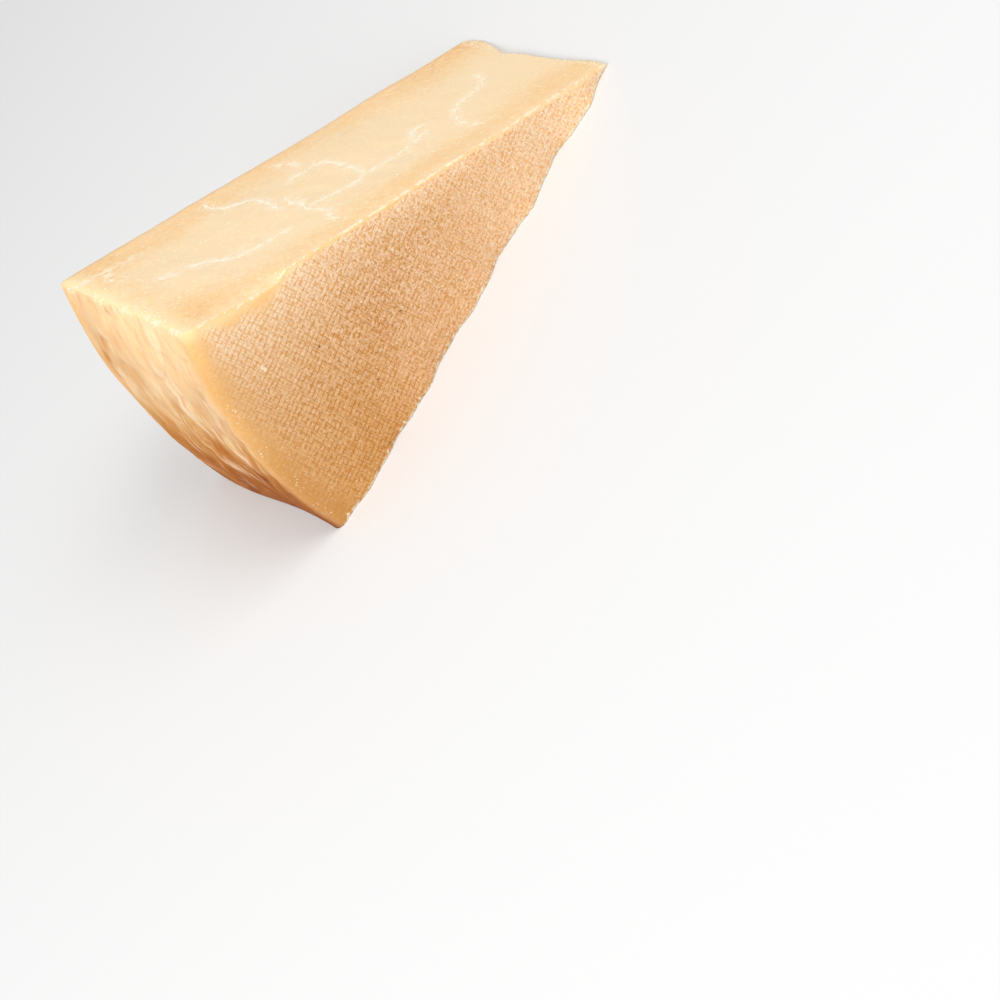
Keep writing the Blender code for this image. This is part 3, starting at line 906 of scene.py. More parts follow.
def paste_colour(mixing, warm):
    """Cream to straw to orange by warmth, with fine pale grains, flake lips and a yellow rind side."""
    clouds = mixing.fade(mixing.noise(7.0 * MM, 3.0, 0.55), 0.30, 0.70, -0.07, 0.07)
    mottle = mixing.fade(mixing.noise(1.2 * MM, 3.0, 0.7), 0.34, 0.66, -0.16, 0.16)
    warmth = mixing.work("ADD", warm, mixing.work("ADD", clouds, mottle))
    shade = mixing.mix(mixing.fade(warmth, 0.0, 0.9), PASTE_PALE, PASTE_WARM)
    shade = mixing.mix(mixing.fade(warmth, 0.7, 1.5), shade, PASTE_DEEP)
    shade = mixing.mix(mixing.work("MULTIPLY", mixing.read("yellow_and_glow"), 0.8), shade, PASTE_YELLOW_AND_GLOW)
    grains = mixing.fade(mixing.noise(0.7 * MM, 3.0, 0.65), 0.54, 0.72)
    shade = mixing.mix(mixing.work("MULTIPLY", grains, 0.60), shade, CRUMB_PALE)
    flaking = mixing.fade(mixing.noise(1.5 * MM, 4.0, 0.65), 0.40, 0.58)
    return mixing.mix(mixing.work("MULTIPLY", mixing.read("lips"), flaking), shade, CRUMB_PALE)


print("warm paste, as light:", np.round(PASTE_WARM[:3], 2))

# %% [markdown]
# On the flats each cell of the cloth left a pale pinkish pad and each thread a thin orange-brown groove.
# The material reads the same threads that pressed the grid. Where the cloth slipped, the pads give way to
# packed grains of the same size, and tiny pale and brown specks cover both.

# %% Colours of the flats, and the lattice of pads and grooves
PAD = {"fresh_and_lit": colour(255, 229, 196), "tan": colour(244, 198, 156), "golden": colour(216, 158, 88)}
GROOVE = {"fresh_and_lit": colour(243, 182, 112), "tan": colour(210, 145, 66), "golden": colour(186, 115, 24)}
BAND = {"fresh_and_lit": colour(252, 203, 136), "tan": colour(222, 164, 106), "golden": colour(198, 138, 68)}


def flat_colour(mixing, hues, warm, fresh_and_lit):
    """Tan to golden by warmth, and towards the palest hue by a share that is partly freshness and partly
    painted light.
    """
    return mixing.mix(fresh_and_lit, mixing.mix(warm, hues["tan"], hues["golden"]), hues["fresh_and_lit"])


def lattice(mixing, slip):
    """1 on a pad and 0 in a groove, from the threads moved by a slip.

    Each set of grooves has a reach, in threads, over which it rises to the pads, and a floor: the higher the
    floor, the fainter the groove.
    """
    parts = mixing.add("ShaderNodeSeparateXYZ")
    mixing.feed(parts.inputs[0], mixing.shift(mixing.read("threads", "Vector"), *slip))
    thick, row = (mixing.work("PINGPONG", parts.outputs[k], 0.5) for k in (0, 1))
    thin = mixing.work("SUBTRACT", 0.5, thick)
    odd = mixing.work("PINGPONG", parts.outputs[0], ODD_PITCH / 2.0)
    groove = mixing.fade(mixing.noise(0.7 * MM, 3.0, 0.7), 0.34, 0.66, -0.09, 0.09)
    pad = 1.0
    sets = ((thick, 0.12, 0.25), (thin, 0.10, 0.45), (odd, 0.10, 0.35), (row, 0.16, 0.0))
    for beside, reach, floor in sets:
        beside = mixing.fade(beside, groove, mixing.work("ADD", groove, reach), floor, 1.0)
        pad = mixing.work("MINIMUM", pad, beside)
    return pad


print("golden grooves, as light:", np.round(GROOVE["golden"][:3], 2))

# %% The cloth's imprint
GRAIN_SIZE = 1.3 * MM
PAD_COVER = 0.6  # about the share of the flats that is pad
SPECK_PALE = colour(255, 228, 200)
SPECK_BROWN = colour(190, 120, 54)


def pads(mixing, disorder, bite):
    """The lattice again, with packed grains and speckle mixed in where the cloth slipped."""
    jitter = mixing.noise(0.7 * MM, 2.0, 0.6, part="Color")
    pad = lattice(mixing, (jitter, mixing.blend(disorder, 0.07, 0.32)))
    grain = mixing.grains(GRAIN_SIZE, mixing.shift(mixing.place, jitter, 1.2 * MM))
    pad = mixing.blend(mixing.work("MULTIPLY", disorder, 0.36), pad, mixing.fade(grain, 0.02, 0.24))
    speckle = mixing.fade(mixing.noise(0.30 * MM, 1.0, 0.6), 0.35, 0.65, -0.38, 0.38)
    speckle = mixing.work("MULTIPLY", speckle, mixing.blend(disorder, 0.38, 1.0))
    pad = mixing.work("ADD", pad, mixing.work("MULTIPLY", speckle, bite))
    return mixing.work("MULTIPLY_ADD", mixing.work("SUBTRACT", pad, PAD_COVER), bite, PAD_COVER)


def specks_over(mixing, shade, share):
    """A shade with tiny pale and brown specks on it."""
    pale = mixing.fade(mixing.noise(0.42 * MM, 1.0), 0.55, 0.68, 0.0, 0.46)
    brown = mixing.fade(mixing.noise(0.46 * MM, 1.0), 0.42, 0.32, 0.0, 0.38)
    shade = mixing.mix(mixing.work("MULTIPLY", pale, share), shade, SPECK_PALE)
    return mixing.mix(mixing.work("MULTIPLY", brown, share), shade, SPECK_BROWN)


def cloth_imprint(mixing, warm, press):
    """Colour and height of the flats: pads, grooves, specks, bare bands and a painted glow under the upper
    cut.
    """
    disorder, fresh_and_lit, bite = (mixing.read(name) for name in ("disorder", "fresh_and_lit", "bite"))
    pad = pads(mixing, disorder, bite)
    groove_shade, pad_shade, bare = (flat_colour(mixing, hues, warm, fresh_and_lit) for hues in (GROOVE, PAD, BAND))
    shade = mixing.mix(press, bare, mixing.mix(pad, groove_shade, pad_shade))
    share = mixing.work("MULTIPLY", bite, mixing.blend(press, 0.34, mixing.blend(disorder, 0.6, 1.0)))
    shade = specks_over(mixing, shade, share)
    # painted glow along the strip under the upper cut
    shade = mixing.mix(mixing.work("MULTIPLY", mixing.read("yellow_and_glow"), 0.6), shade, PASTE_YELLOW_AND_GLOW)
    height_mm = mixing.work("MULTIPLY", pad, 0.14)
    height_mm = mixing.work("MULTIPLY_ADD", mixing.noise(0.4 * MM, 3.0, 0.65), 0.14, height_mm)
    soft = mixing.work("MULTIPLY_ADD", fresh_and_lit, -0.6, 1.0)  # near the tip the relief is shallower
    return shade, mixing.work("MULTIPLY", mixing.work("MULTIPLY", height_mm, press), soft)


print("grains are", GRAIN_SIZE / MM, "mm across, about as wide as a pad")

# %% [markdown]
# The rind was washed and turned for months. It is creamy at the fresh upper edge and amber at the foot, where
# it is darkened partly with painted shade. It has soft streaks drawn out along the arc, orange-brown crevices
# and pale crests; the crevices and folds get painted shade and the crests painted highlights. The streaks are
# one noise, read in a space that is squeezed along the arc: its low parts are brown, painted shade in the
# troughs of its relief, and its high parts pale, painted highlights.

# %% The rind
RIND = (  # by age, from the fresh upper edge to the foot, which is darkened partly with painted shade
    (0.00, colour(255, 224, 170)), (0.08, colour(255, 215, 160)), (0.18, colour(251, 207, 152)),
    (0.38, colour(232, 190, 138)), (0.52, colour(216, 163, 98)), (0.66, colour(190, 124, 56)),
    (0.80, colour(166, 96, 36)), (0.97, colour(142, 74, 22)),
)
# brown for painted shade in the folds, crevices and streak troughs, over the crevices' own orange-brown
RIND_HOLLOW_SHADE = colour(206, 124, 48)
# the pale waxy colour, also used for painted highlights on the upper rind
RIND_WAX_AND_HIGHLIGHT = colour(255, 236, 202)
# the colour of painted highlights lower on the rind
RIND_HIGHLIGHT = colour(250, 214, 174)


def rind_finish(mixing):
    """Cream to gold to brown by age and long clouds, with crevices, wax, and fine pale and brown streaks.

    The foot is darkened partly with painted shade; folds, crevices and the streaks' low parts get painted
    shade, and crests and the streaks' high parts get painted highlights.
    """
    along, age_and_shade = mixing.read("rind", "Vector"), mixing.read("aged_and_shaded")
    clouds = mixing.noise(3.4 * MM, 3.0, 0.6, 0.3, along)
    drawn_out = mixing.add("ShaderNodeVectorMath", operation="MULTIPLY")
    mixing.feed(drawn_out.inputs[0], along)
    drawn_out.inputs[1].default_value = (1.0, 0.5, 1.0)
    streak = mixing.noise(1.3 * MM, 4.0, 0.66, 0.6, drawn_out.outputs[0])
    # cream to brown by age, with painted shade darkening the foot
    shade = mixing.ramp(mixing.work("ADD", age_and_shade, mixing.fade(clouds, 0.70, 0.30, -0.05, 0.05)), RIND)
    high = mixing.fade(age_and_shade, 0.65, 0.25)
    wax = mixing.work("MULTIPLY", mixing.fade(clouds, 0.50, 0.72, 0.0, 0.5), high)
    shade = mixing.mix(wax, shade, RIND_WAX_AND_HIGHLIGHT)
    ragged = mixing.fade(mixing.noise(1.6 * MM, 3.0, 0.65, 0.0, along), 0.35, 0.65, 0.45, 1.0)
    # painted shade: darker orange-brown in the folds and crevices
    fold_shade = mixing.work("MULTIPLY", mixing.read("fold_shade"), 0.25)
    deep = mixing.work("MULTIPLY", mixing.work("MAXIMUM", fold_shade, mixing.read("crevice")), ragged)
    shade = mixing.mix(deep, shade, RIND_HOLLOW_SHADE)
    streaky = mixing.read("streaky")
    # painted shade in the low parts of the streaks, the troughs of their relief
    brown = mixing.work("MULTIPLY", mixing.fade(streak, 0.49, 0.34, 0.0, 0.85), streaky)
    shade = mixing.mix(brown, shade, mixing.mix(0.5, shade, RIND_HOLLOW_SHADE, "MULTIPLY"))
    showing = mixing.work("MULTIPLY", streaky, mixing.fade(age_and_shade, 1.0, 0.55, 0.35, 1.0))
    # painted highlights on the high parts of the streaks
    bloom_highlight = mixing.work("MULTIPLY", mixing.fade(streak, 0.54, 0.66, 0.0, 0.72), showing)
    shade = mixing.mix(bloom_highlight, shade, mixing.mix(high, RIND_HIGHLIGHT, RIND_WAX_AND_HIGHLIGHT))
    # painted highlights on the crests
    crest_highlight = mixing.work("MULTIPLY", mixing.read("crest_highlight"), mixing.fade(streak, 0.40, 0.60, 0.0, 0.72))
    shade = mixing.mix(crest_highlight, shade, mixing.mix(high, RIND_HIGHLIGHT, RIND_WAX_AND_HIGHLIGHT))
    height_mm = mixing.work("MULTIPLY_ADD", streak, 0.14, mixing.work("MULTIPLY", deep, -0.12))
    return shade, height_mm


print("the rind runs through", len(RIND), "colours from cream to brown")

# %% [markdown]
# Paste, imprint and rind could be three materials on three sets of faces, but a hard seam would run where one
# passes into the next. So one recipe holds all three, and blends them by the shares that the points keep.

# %% The chunk's whole finish
BLEED = (1.0, 0.5, 0.22)  # red light travels furthest under the surface
BLEED_REACH = 2.5 * MM
mixing = Recipe("cheese_paste_and_rind")
warm_read, press_read, worn_read = (mixing.read(name) for name in ("warm", "press", "worn"))
cloth_read, rim_read = mixing.read("cloth"), mixing.read("rim")
paste = paste_colour(mixing, warm_read)
imprint, imprint_mm = cloth_imprint(mixing, warm_read, press_read)
rind, rind_mm = rind_finish(mixing)
whole = mixing.mix(rim_read, mixing.mix(cloth_read, paste, imprint), rind)
ragged = mixing.fade(mixing.noise(0.5 * MM, 2.0), 0.3, 0.7, -0.3, 0.3)
crumbly = mixing.fade(mixing.work("ADD", worn_read, ragged), 0.3, 0.8)
whole = mixing.mix(mixing.work("MULTIPLY", crumbly, 0.75), whole, CRUMB_PALE)
fine = mixing.noise(0.4 * MM, 3.0, 0.65)
smear = mixing.noise(2.6 * MM, 3.0, 0.55)
paste_mm = mixing.work("ADD", mixing.work("MULTIPLY", fine, 0.05), mixing.work("MULTIPLY", smear, 0.08))
relief_mm = mixing.blend(rim_read, mixing.blend(cloth_read, paste_mm, imprint_mm), rind_mm)
mixing.relief(relief_mm)
foot_dull = mixing.fade(mixing.read("aged_and_shaded"), 0.35, 0.75, 0.0, 0.40)
foot_dull = mixing.work("MULTIPLY", rim_read, foot_dull)
gloss = mixing.work("ADD", mixing.blend(cloth_read, 0.42, 0.58), foot_dull)
mixing.set(Base_Color=whole, Roughness=gloss, Specular_IOR_Level=0.16, Subsurface_Weight=0.25,
           Subsurface_Radius=BLEED, Subsurface_Scale=BLEED_REACH)
print("the chunk's finish has", len(mixing.tree.nodes), "nodes")

# %% Make the chunk
chunk = add_piece("cheese_chunk", points, chunk_faces, mixing.material)
zero = np.zeros(len(points))
notes = {"warm": warm, "yellow_and_glow": yellow_and_glow, "press": press, "worn": worn, "cloth": cloth_share, "rim": rim_share,
         "fold_shade": fold_shade, "crevice": crevice, "crest_highlight": crest_highlight, "streaky": streaky, "aged_and_shaded": aged_and_shaded,
         "disorder": disorder, "bite": bite, "fresh_and_lit": fresh_and_lit,
         "threads": np.column_stack((threads, zero)),
         "rind": np.column_stack((height, arc * WRINKLE_SQUEEZE, zero))}
for name, values in notes.items():
    note(chunk, name, values)
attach(chunk, "root")
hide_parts("cheese_wedge")
print("cheese_chunk has", len(chunk.data.polygons), "faces")

# %% [markdown]
# ## Torn flake edges
#
# A hard paste splits a little ahead of the knife, and the thin lips of those splits stay on the cut as pale
# hairlines. Each is a slender closed ribbon carried along its path, half sunk into the paste, whose width
# and height waver as the tear did.

# %% Paths of the tears, as radius and height in millimetres
TEARS = {
    "tip": ((21, 42.8), (21.6, 37.8), (26.6, 34), (32.3, 32.1), (37.3, 30.9), (41, 29), (43.5, 25.3),
            (45.8, 20.3), (45.4, 12.8)),
    "long": ((52.9, 27.1), (58.5, 25.9), (66, 24), (71, 23.4), (76, 24.3), (81, 24.3), (86, 23),
             (91, 23.6), (96, 24.9), (101, 25.9)),
    "curl": ((51, 30.3), (53, 31.8), (56, 31.5), (59, 29)),
    "zigzag": ((101.6, 37.1), (102.3, 34), (101, 30.9), (102.5, 27.1), (102.3, 24), (101, 20.3),
               (101.6, 15.3), (102.3, 12.8), (103.3, 7.8)),
    "loop": ((80, 25.9), (79.5, 31.5), (79.5, 37.8), (79.8, 42.8), (81.6, 45.9), (84.8, 47.5),
             (89.8, 47.8), (93.5, 47.1)),
    "hook": ((106.6, 34), (106, 39), (105.4, 44), (106.3, 49), (109.1, 51.5), (112.3, 54), (114.1, 57.8),
             (114.8, 62.1), (114.1, 64.6)),
    "back": ((86, 54), (85.4, 57.8), (87.9, 61.5), (89.1, 62.8)),
    "smear": ((127.3, 21.5), (131, 24), (134.8, 27.8), (137.3, 30.9), (141, 32.8), (144.8, 33.4),
              (147.9, 35.3), (149.8, 37.1)),
    "lead": ((112.9, 20.5), (118, 21.5), (122, 21.2), (127.3, 22.8)),
    "arc": ((155.4, 55.9), (156.4, 53.4), (155.4, 50.9)),
    "corner": ((143.5, 57.8), (149.8, 58.4), (157.3, 59), (162.3, 60.9)),
}
TEAR_WIDTH = {"tip": 0.8, "long": 0.9, "zigzag": 1.5, "loop": 1.1, "hook": 1.3, "smear": 1.7, "arc": 0.9}
PLAIN_TEAR_WIDTH = 0.75
print(len(TEARS), "tears, of", sum(len(path) for path in TEARS.values()), "corners in all")

# %% From a few corners to a curve on the cut
TEAR_STEP = 0.35 * MM
upper_angle = (ANGLE_FRONT + ANGLE_BACK) / 2.0
upper_normal = np.array((math.sin(upper_angle), 0.0, math.cos(upper_angle)))


def smooth_path(corners, step):
    """Points at an even step on a curve of cubics, each with its neighbours' slopes (Catmull and Rom's)."""
    ends = np.vstack((2.0 * corners[0] - corners[1], corners, 2.0 * corners[-1] - corners[-2]))
    before, start, end, after = ends[:-3, None], ends[1:-2, None], ends[2:-1, None], ends[3:, None]
    t = np.linspace(0.0, 1.0, 16, endpoint=False)[None, :, None]
    bend = 2.0 * before - 5.0 * start + 4.0 * end - after
    twist = 3.0 * start - before - 3.0 * end + after
    curve = start + 0.5 * ((end - before) * t + bend * t ** 2 + twist * t ** 3)
    curve = np.vstack((curve.reshape(-1, 2), corners[-1]))
    run = np.concatenate(([0.0], np.cumsum(np.hypot(*np.diff(curve, axis=0).T))))
    even = np.linspace(0.0, run[-1], max(int(run[-1] / step), 4) + 1)
    return np.column_stack([np.interp(even, run, curve[:, k]) for k in (0, 1)])


def on_upper_cut(radius, height):
    """Points of the upper cut at given radii and heights, as the chunk's grid has them."""
    setback = tip_setback(height, 1.0) + TIP_CRUMBLE_DEPTH
    drawn, _ = chunk_surface((radius - setback) / (WHEEL_RADIUS - setback), height, np.ones_like(radius))
    return fit_to_solid(drawn)


def headings(path):
    """Unit steps along a path."""
    step = np.gradient(path, axis=0)
    return step / np.linalg.norm(step, axis=1)[:, None]


print("the zigzag has", len(smooth_path(np.array(TEARS["zigzag"]) * MM, TEAR_STEP)), "points on its curve")

# %% Ribbons along the tears
TEAR_RISE = 0.05 * MM
SWAY, SWAY_SIZE = 0.16 * MM, 2.4 * MM
WAVER_SIZE = 3.4 * MM
FRAY_SIZE = 1.1 * MM
TAPER_LENGTH = 3.0 * MM
RIBBON_SIDES = 7
RIBBON_LIFT = 0.02 * MM


def tube(middle, across, half, rise):
    """A closed oval tube along its middle points, with a fan of triangles over each end."""
    around = 2.0 * math.pi * np.arange(RIBBON_SIDES) / RIBBON_SIDES
    shell = (middle[:, None] + across[:, None] * (half[:, None] * np.cos(around))[..., None]
             + upper_normal * (rise[:, None] * np.sin(around) + RIBBON_LIFT)[..., None])
    k, s = np.meshgrid(np.arange(len(middle) - 1), np.arange(RIBBON_SIDES), indexing="ij")
    a, b = k * RIBBON_SIDES + s, k * RIBBON_SIDES + (s + 1) % RIBBON_SIDES
    c, d = a + RIBBON_SIDES, b + RIBBON_SIDES
    faces = np.concatenate((np.stack((a, b, d), -1).reshape(-1, 3), np.stack((a, d, c), -1).reshape(-1, 3)))
    fan = np.arange(1, RIBBON_SIDES - 1)
    start = np.column_stack((np.zeros_like(fan), fan + 1, fan))
    finish = start[:, ::-1] + (len(middle) - 1) * RIBBON_SIDES
    return shell.reshape(-1, 3), np.concatenate((faces, start, finish))


def ribbon(corners, width, seed):
    """A closed ribbon, given by the corners of its path and its width in millimetres.

    It sways to the sides of its path, and its width and height waver, fray, and taper to both ends.
    """
    path = smooth_path(np.array(corners) * MM, TEAR_STEP)
    run = np.arange(len(path)) * TEAR_STEP
    sway = SWAY * lumps(run, run * 0.0, SWAY_SIZE, seed)
    tangent = headings(path)
    path = path + np.column_stack((-tangent[:, 1], tangent[:, 0])) * sway[:, None]
    bend = np.hypot(*np.gradient(headings(path), axis=0).T) / TEAR_STEP
    middle = on_upper_cut(*path.T)
    taper = np.sqrt(np.clip(np.minimum(run, run[::-1]) / TAPER_LENGTH, 0.0, 1.0))
    waver = smooth_step(-1.1, 1.1, lumps(run, run * 0.0, WAVER_SIZE, seed + 1))
    frayed = 1.0 + 0.45 * lumps(run, run * 0.0, FRAY_SIZE, seed + 2, FINE_WAVES)
    half = width / 2.0 * MM * (0.12 + 1.0 * waver) * (0.15 + 0.85 * taper) * np.maximum(frayed, 0.2)
    half = np.minimum(half, 0.7 / np.maximum(bend, 1.0))  # never wider than its bend, or it would fold over
    rise = TEAR_RISE * (0.4 + 0.8 * waver) * (0.25 + 0.75 * taper)
    return tube(middle, np.cross(upper_normal, headings(middle)), half, rise)


print("the shortest tear's ribbon has", len(ribbon(TEARS["arc"], 1.0, 1)[1]), "faces")

# %% Shreds beside the tears, and flecks
SHRED_CHANCE = 0.34
SHRED_STEP = 1.1 * MM
FLECK_COUNT = 60


def gather(parts):
    """Join several shapes' points and faces into one."""
    offsets = np.cumsum([0] + [len(p) for p, _ in parts[:-1]])
    return np.concatenate([p for p, _ in parts]), np.concatenate([f + o for (_, f), o in zip(parts, offsets)])


def shreds(path, width, seed):
    """Bits torn off beside a tear: short ribbons roughly along its path, set a little aside."""
    draw = np.random.default_rng(seed)
    middles = smooth_path(np.array(path) * MM, SHRED_STEP) / MM
    for k, (middle, heading) in enumerate(zip(middles, headings(middles))):
        if draw.uniform() > SHRED_CHANCE * width:
            continue
        tilt = math.atan2(heading[1], heading[0]) + draw.normal(0.0, 0.5)
        reach = draw.uniform(0.7, 1.9) * np.array((math.cos(tilt), math.sin(tilt)))
        middle = middle + draw.normal(0.0, 0.7, 2) * width ** 0.5
        bend = draw.uniform(-0.25, 0.25, 2)
        yield ribbon((middle - reach, middle + bend, middle + reach), draw.uniform(0.4, 0.9), seed + 7 * k)


def flecks():
    """Short pale dashes, most of them along the knife's stroke and towards the back."""
    draw = np.random.default_rng(95)
    for k in range(FLECK_COUNT):
        start = np.array((draw.uniform(24.0, 158.0), 67.0 - 60.0 * draw.uniform() ** 1.6))
        heading = draw.normal(0.0, 0.5)
        reach = draw.uniform(1.2, 4.0) * np.array((math.cos(heading), math.sin(heading)))
        middle = start + reach / 2.0 + draw.uniform(-0.4, 0.4, 2)
        yield ribbon((start, middle, start + reach), draw.uniform(0.25, 0.50), 200 + 3 * k)


print("a tear 1 mm wide has a shred every", round(SHRED_STEP / MM / SHRED_CHANCE, 1), "mm or so")

# %% All the tears
widths = [TEAR_WIDTH.get(name, PLAIN_TEAR_WIDTH) for name in TEARS]
lips = [ribbon(path, width, 400 + 3 * k) for k, (path, width) in enumerate(zip(TEARS.values(), widths))]
bits = [bit for k, (path, width) in enumerate(zip(TEARS.values(), widths))
        for bit in shreds(path, width, 5000 + 1000 * k)]
tears = gather(lips + bits + list(flecks()))
print(len(lips), "tears,", len(bits), "shreds, cubic mm:", round(closed_volume(*tears) * 1e9, 1))

# %% Pale paste beside the tears
HALO_REACH = 1.9 * MM
HALO = 0.75
SMEARS = (  # radius and height of the middle, then the size and the strength
    ((148.0, 35.5), (4.5, 2.2), 0.8), ((139.0, 31.5), (4.0, 2.0), 0.5), ((124.0, 25.0), (5.0, 3.0), 0.45),
    ((118.0, 17.0), (4.0, 2.0), 0.3), ((96.0, 36.0), (3.0, 2.5), 0.3), ((107.0, 50.0), (3.0, 3.0), 0.35),
)
nearest = np.full(len(points), np.inf)
upper = np.flatnonzero(on_cut & (turn > WHOLE))
for path in TEARS.values():
    for at in smooth_path(np.array(path) * MM, TEAR_STEP):
        nearest[upper] = np.minimum(nearest[upper], np.hypot(radius[upper] - at[0], height[upper] - at[1]))
halo = HALO * np.exp(-(nearest / HALO_REACH) ** 2)
smeared = patches(SMEARS, radius, height) * (on_cut & (turn > WHOLE))
note(chunk, "lips", np.maximum(halo, smeared))
print("pale beside the tears:", int((halo > 0.1).sum()), "points")

# %% The flakes' finish, a paler and drier paste
flaky = Recipe("dry_flakes")
chalk = flaky.fade(flaky.noise(0.6 * MM, 2.0), 0.35, 0.7)
flaky.set(Base_Color=flaky.mix(chalk, colour(255, 237, 206), colour(255, 245, 226)), Roughness=0.6)
flaky.relief(flaky.work("MULTIPLY", flaky.noise(0.4 * MM, 2.0), 0.08))

flakes = add_piece("flake_edges", *tears, flaky.material, smooth=False)
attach(flakes, "root")
print("flake_edges has", len(flakes.data.polygons), "faces")

# %% [markdown]
# ## Crumbs
#
# Cutting leaves tiny crumbs stuck along the edges and scattered on the paste. Each is a low, lopsided ball
# of a few dozen faces, half sunk where it stuck. They are thickest along the front edge and by the rind.

# %% Small lopsided balls
BALL_TURNS = 6
BALL_RINGS = 3
CRUMB_FLATTENING = 0.45


def ball():
    """Directions and triangles of a small ball: rings of points between two poles."""
    tilt = np.repeat(math.pi * np.arange(1, BALL_RINGS + 1) / (BALL_RINGS + 1), BALL_TURNS)
    heading = np.tile(2.0 * math.pi * np.arange(BALL_TURNS) / BALL_TURNS, BALL_RINGS)
    ring = np.column_stack((np.sin(tilt) * np.cos(heading), np.sin(tilt) * np.sin(heading), np.cos(tilt)))
    directions = np.vstack((ring, (0.0, 0.0, 1.0), (0.0, 0.0, -1.0)))
    top, bottom = len(ring), len(ring) + 1
    s = np.arange(BALL_TURNS)
    after = (s + 1) % BALL_TURNS
    caps = [np.column_stack((np.full(BALL_TURNS, top), s, after)),
            np.column_stack((np.full(BALL_TURNS, bottom), after + top - BALL_TURNS, s + top - BALL_TURNS))]
    sides = [np.column_stack(trio) for k in range(BALL_RINGS - 1) for trio in (
        (s + k * BALL_TURNS, s + (k + 1) * BALL_TURNS, after + (k + 1) * BALL_TURNS),
        (s + k * BALL_TURNS, after + (k + 1) * BALL_TURNS, after + k * BALL_TURNS))]
    return directions, np.concatenate(caps + sides)


def scatter(middles, outward, sizes, seed):
    """Crumbs at the middles: balls with uneven radii, flattened along the outward direction."""
    draw = np.random.default_rng(seed)
    directions, faces = ball()
    uneven = draw.uniform(0.5, 1.4, (len(middles), len(directions)))
    arms = directions[None] * uneven[..., None] * sizes[:, None, None]
    stick_out = (arms * outward[:, None]).sum(axis=2)
    arms = arms - CRUMB_FLATTENING * stick_out[..., None] * outward[:, None]
    points = middles[:, None] + arms
    offsets = (np.arange(len(middles)) * len(directions))[:, None, None]
    return points.reshape(-1, 3), (faces[None] + offsets).reshape(-1, 3)


print("a crumb has", len(ball()[1]), "faces")

# %% Places and sizes of crumbs, on the upper cut and on the front flat
draw = np.random.default_rng(91)
front_normal = np.array((0.0, -1.0, 0.0))
rim_normal = np.array((-math.cos(upper_angle), 0.0, math.sin(upper_angle)))


def crumbs_on_cut(radii, heights, size_range, outward):
    """Crumbs on the upper cut, many small and few large ones."""
    sizes = size_range[0] + (size_range[1] - size_range[0]) * draw.uniform(0.0, 1.0, len(radii)) ** 2.5
    along = outward / np.linalg.norm(outward)
    return on_upper_cut(radii, heights), np.tile(along, (len(radii), 1)), sizes


def crumbs_on_flat(along_x, up_z, size):
    """Crumbs on the front flat, at places given in millimetres, of sizes about as given."""
    along_x, up_z = (np.array(values) * MM for values in (along_x, up_z))
    out, angle = np.hypot(WHEEL_RADIUS / 2.0 - along_x, up_z), np.arctan2(up_z, WHEEL_RADIUS / 2.0 - along_x)
    drawn, _ = chunk_surface(out / WHEEL_RADIUS, np.zeros_like(out), angle / ANGLE_FRONT)
    return fit_to_solid(drawn), np.tile(front_normal, (len(out), 1)), size * draw.uniform(0.6, 1.3, len(out))


# %% Lay the crumbs
EDGE_CRUMBS = 380  # along the front edge
RIND_CRUMBS = 120  # along the rind
NEAR_CRUMBS = 90  # loose on the rind's side of the cut
FAR_CRUMBS = 60  # loose towards the tip
CLUSTERS = np.repeat((56.0, 50.0, 38.0, 22.0, 10.0), 9)  # heights of the crumbs by the flat's rim
LONE_CRUMBS = np.array(((77.6, 12.1), (136.6, 47.8), (12, 8.4), (58.5, 20.3), (131, 2.8), (86.5, 50.5))) * MM
LONE_SIZE = 0.38 * MM
CLUSTER_SIZE = 0.17 * MM
cluster_z = CLUSTERS + draw.normal(0.0, 2.4, len(CLUSTERS))
cluster_out = WHEEL_RADIUS / MM - 0.4 - 4.0 * draw.uniform(0.0, 1.0, len(CLUSTERS)) ** 1.5
cluster_x = WHEEL_RADIUS / MM / 2.0 - np.sqrt(cluster_out ** 2 - cluster_z ** 2)
batches = [
    crumbs_on_cut(draw.uniform(8, 162, EDGE_CRUMBS) * MM, draw.uniform(0.1, 1.0, EDGE_CRUMBS) ** 1.5 * MM,
                  (0.09 * MM, 0.34 * MM), upper_normal + front_normal),
    crumbs_on_cut((164 - 5 * draw.uniform(0, 1, RIND_CRUMBS) ** 2) * MM,
                  draw.uniform(3, 68, RIND_CRUMBS) * MM, (0.08 * MM, 0.36 * MM), upper_normal + rim_normal),
    crumbs_on_cut(draw.uniform(120, 160, NEAR_CRUMBS) * MM, draw.uniform(3, 67, NEAR_CRUMBS) * MM,
                  (0.10 * MM, 0.32 * MM), upper_normal),
    crumbs_on_cut(draw.uniform(12, 120, FAR_CRUMBS) * MM, draw.uniform(3, 67, FAR_CRUMBS) * MM,
                  (0.08 * MM, 0.24 * MM), upper_normal),
    (on_upper_cut(*LONE_CRUMBS.T), np.tile(upper_normal, (len(LONE_CRUMBS), 1)),
     np.full(len(LONE_CRUMBS), LONE_SIZE)),
    crumbs_on_flat(cluster_x, cluster_z, CLUSTER_SIZE),
]
crumbs = scatter(*(np.concatenate(column) for column in zip(*batches)), 92)
crumb_piece = add_piece("cheese_crumbs", *crumbs, flaky.material)
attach(crumb_piece, "root")
print("crumbs:", len(crumbs[1]), "faces, volume", round(closed_volume(*crumbs) * 1e9, 1), "cubic millimetres")

